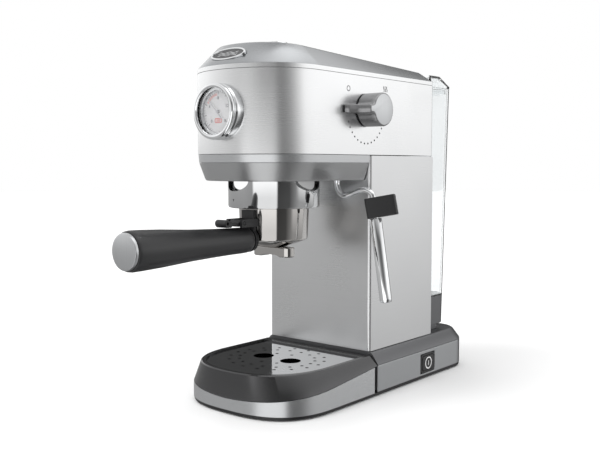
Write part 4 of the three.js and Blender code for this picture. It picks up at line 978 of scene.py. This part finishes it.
# ---------------------------------------------------------------- water tank
def build_tank():
    wall = TANK_WALL
    low_in = rounded_box(TANK_LOW_HALF - wall, TANK_FRONT + wall, TANK_FOOT - wall, 1, 12)
    high_in = rounded_box(TANK_HALF - wall, TANK_FRONT + wall, TANK_REAR - wall, 1, 12)

    def between(low_plan, high_plan, z):
        share = (z - TANK_LOW) / (TANK_TOP - TANK_LOW)
        return at([(a + (c - a) * share, b + (d - b) * share) for (a, b),
                   (c, d) in zip(low_plan, high_plan)], z)

    def inside(z):
        return between(low_in, high_in, z)

    def outside(z, inset=0.0):
        return between(rounded_box(TANK_LOW_HALF - inset, TANK_FRONT, TANK_FOOT - inset, 3, 14),
                       rounded_box(TANK_HALF - inset, TANK_FRONT, TANK_REAR - inset, 3, 14), z)
    drain = (0, TANK_DRAIN_Y, 0)
    drain_hole = spin(bar(5.5, 60, 90), "Z", drain, 48)
    glass = loft(outside(TANK_SPLIT), outside(TANK_TOP))
    piece("water_tank", glass, tank_clear, "water_tank", cuts=[loft(inside(77.2), inside(295)), drain_hole],
          bevel=0.5)
    foot = loft(outside(TANK_LOW), outside(TANK_SPLIT - 0.02))
    piece("tank_foot", foot, graphite, "water_tank", cuts=[loft(inside(30), inside(74.8)), drain_hole],
          bevel=0.6)
    post = loft(outside(TANK_SPLIT + 0.2, 0.04), outside(TANK_TOP - 0.4, 0.04))
    middle = loft(*[between(rounded_box(TANK_LOW_HALF - 6, 90, 200, 2),
                            rounded_box(TANK_HALF - 6, 90, 200, 2), z) for z in (60, 300)])
    front = loft(*[between(rounded_box(90, 90, TANK_FOOT - 6.5, 2), rounded_box(90, 90, TANK_REAR - 6.5, 2),
                           z) for z in (60, 300)])
    shell = loft(*[between(rounded_box(TANK_LOW_HALF - 1.6, TANK_FRONT, TANK_FOOT - 1.6, 1, 12.6),
                           rounded_box(TANK_HALF - 1.6, TANK_FRONT, TANK_REAR - 1.6, 1,
                                       12.6), z) for z in (60, 300)])
    # Dark strips just inside the tank's corner walls: painted shade for the clear wall's dark edges, not a
    # tinted part.
    piece("tank_corners", post, painted_edge_shade, "water_tank", cuts=[middle, front, shell], bevel=0.1)
    valve = [(0, 72.6), (4, 72.6), (4, 77.5), (8, 77.5), (8, 80), (3, 81), (3, 86), (0, 86)]
    piece("tank_valve", spin(valve, "Z", drain, 48), black, "tank_valve", bevel=0.3)
    rings = [at(rounded_box(51, 112.8, 143, 2, 8), 40.3), at(rounded_box(51, 112.8, 143, 2, 8), 67),
             at(rounded_box(50.4, 112.8, 142.2, 2, 8), 69.5),
             at(rounded_box(49, 112.8, 140.4, 2, 8), 71.3), at(rounded_box(47, 113.4, 137.5, 2, 8), 72)]
    piece("tank_plinth", loft(*rings), graphite, cuts=[spin(bar(4.5, 30, 46), "Z", drain, 48)], bevel=0.3)

    lid_out = loft(at(rounded_box(TANK_HALF + GAP, TANK_FRONT, TANK_REAR, 3, 14), 290.4),
                   at(rounded_box(TANK_HALF + GAP, TANK_FRONT, TANK_REAR, 3, 14), 292.2),
                   at(rounded_box(55, TANK_FRONT, 134, 3, 6), 301.5))
    rim = prism(rounded_box(53.8, TANK_FRONT + 3, 150.6, 2, 11), 284, 291.4)
    inner = loft(at(rounded_box(52, TANK_FRONT + 4.5, 149, 2, 10), 279),
                 at(rounded_box(52, TANK_FRONT + 4.5, 149, 2, 10), 292.2),
                 at(rounded_box(51, TANK_FRONT + 3, 131.6, 2, 4), 299.1))
    piece("tank_lid", lid_out, tank_clear, "tank_lid", joins=[rim], cuts=[inner], bevel=0.5)


# ---------------------------------------------------------------- inner parts keep their CAD shape
def dress_inner_parts():
    looks = {"column_frame": aluminium, "thermoblock": aluminium, "steam_feed_pipe": aluminium,
             "steam_outlet_pipe": aluminium,
             "pump": black, "solenoid_valve": brass, "steam_valve_body": brass, "control_board": board,
             "supply_hose": rubber,
             "pressure_hose": rubber}
    for node, material in looks.items():
        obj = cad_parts[node]
        for slot in obj.material_slots:
            slot.material = material


# ---------------------------------------------------------------- stage
def ray_mix(tree, first, second):
    """Mixes two shaders: the second one is seen only in mirror and satin reflections."""
    path = tree.nodes.new("ShaderNodeLightPath")
    keep = tree.nodes.new("ShaderNodeMath")
    keep.operation = "SUBTRACT"
    keep.use_clamp = True
    tree.links.new(path.outputs["Is Glossy Ray"], keep.inputs[0])
    tree.links.new(path.outputs["Is Transmission Ray"], keep.inputs[1])
    mix = tree.nodes.new("ShaderNodeMixShader")
    tree.links.new(keep.outputs[0], mix.inputs[0])
    tree.links.new(first, mix.inputs[1])
    tree.links.new(second, mix.inputs[2])
    return mix.outputs[0]


def build_stage():
    material, tree, principled = shader("studio_floor")
    tree.links.new(tinted(tree, noise(tree, 3.0, 2.0), (0.91, 0.91, 0.91), (0.92, 0.92, 0.92)),
                   principled.inputs["Base Color"])
    principled.inputs["Roughness"].default_value = 0.9
    principled.inputs["Specular IOR Level"].default_value = 0.0
    disc = [(6000 * math.cos(a), 6000 * math.sin(a)) for a in (2 * math.pi * i / 64 for i in range(64))]
    floor = new_object("floor", prism(disc, -20, -0.05))
    floor.data.materials.append(material)
    floor.visible_glossy = False

    world = bpy.data.worlds.new("studio")
    bpy.context.scene.world = world
    world.use_nodes = True
    tree = world.node_tree
    tree.nodes.clear()
    output = tree.nodes.new("ShaderNodeOutputWorld")
    place = tree.nodes.new("ShaderNodeTexCoord")
    split = tree.nodes.new("ShaderNodeSeparateXYZ")
    tree.links.new(place.outputs["Generated"], split.inputs[0])
    # Angle round the room from the front (-y) towards +x, as 0..1 for -180..180 degrees.
    back = tree.nodes.new("ShaderNodeMath")
    back.operation = "MULTIPLY"
    back.inputs[1].default_value = -1
    tree.links.new(split.outputs["Y"], back.inputs[0])
    angle = tree.nodes.new("ShaderNodeMath")
    angle.operation = "ARCTAN2"
    tree.links.new(split.outputs["X"], angle.inputs[0])
    tree.links.new(back.outputs[0], angle.inputs[1])
    share = tree.nodes.new("ShaderNodeMapRange")
    share.inputs["From Min"].default_value = -math.pi
    share.inputs["From Max"].default_value = math.pi
    tree.links.new(angle.outputs[0], share.inputs["Value"])

    def wall(points):
        node = tree.nodes.new("ShaderNodeValToRGB")
        stops = node.color_ramp.elements
        for azimuth, level in points:
            grey = level / ROOM_GAIN
            stops.new((azimuth + 180) / 360).color = (grey, grey, grey, 1)
        stops.remove(stops[0])
        stops.remove(stops[-1])
        tree.links.new(share.outputs[0], node.inputs["Fac"])
        return node.outputs["Color"]
    colour = wall(ROOM[0][1])
    for (low, _), (high, points) in zip(ROOM, ROOM[1:]):
        rise = tree.nodes.new("ShaderNodeMapRange")
        rise.inputs["From Min"].default_value = low
        rise.inputs["From Max"].default_value = high
        tree.links.new(split.outputs["Z"], rise.inputs["Value"])
        blend = tree.nodes.new("ShaderNodeMix")
        blend.data_type = "RGBA"
        tree.links.new(rise.outputs[0], blend.inputs["Factor"])
        tree.links.new(colour, blend.inputs["A"])
        tree.links.new(wall(points), blend.inputs["B"])
        colour = blend.outputs["Result"]
    room = tree.nodes.new("ShaderNodeBackground")
    room.inputs["Strength"].default_value = ROOM_GAIN
    tree.links.new(colour, room.inputs["Color"])
    white = tree.nodes.new("ShaderNodeBackground")
    white.inputs["Color"].default_value = (1, 1, 1, 1)
    white.inputs["Strength"].default_value = 1.12
    bright = tree.nodes.new("ShaderNodeBackground")
    bright.inputs["Color"].default_value = (1, 1, 1, 1)
    bright.inputs["Strength"].default_value = 1.0
    path = tree.nodes.new("ShaderNodeLightPath")
    diffuse = tree.nodes.new("ShaderNodeMixShader")
    tree.links.new(path.outputs["Is Diffuse Ray"], diffuse.inputs[0])
    tree.links.new(bright.outputs[0], diffuse.inputs[1])
    tree.links.new(white.outputs[0], diffuse.inputs[2])
    tree.links.new(ray_mix(tree, diffuse.outputs[0], room.outputs[0]), output.inputs["Surface"])

    light = bpy.data.lights.new("key", "SUN")
    light.angle = math.radians(30)
    light.energy = 1.0
    key = bpy.data.objects.new("key", light)
    bpy.context.collection.objects.link(key)
    key.rotation_euler = Vector((0.42, 0.80, -1.15)).to_track_quat("-Z", "Y").to_euler()
    key.visible_glossy = False


def build_camera():
    camera = bpy.data.cameras.new("camera")
    camera.sensor_width = 36.0
    camera.lens = 49.44
    obj = bpy.data.objects.new("camera", camera)
    bpy.context.collection.objects.link(obj)
    obj.location = Vector((491.38, -613.99, 211.54)) * MM + SHIFT
    obj.rotation_euler = (math.radians(90 - 4.157), 0, math.radians(39.92))
    bpy.context.scene.camera = obj
    bpy.context.scene.view_settings.view_transform = "Standard"


build_camera()
build_base()
build_tray()
build_column()
build_head()
build_cover()
build_gauge()
build_knob()
build_group()
build_portafilter()
build_wand()
build_tank()
dress_inner_parts()
build_stage()
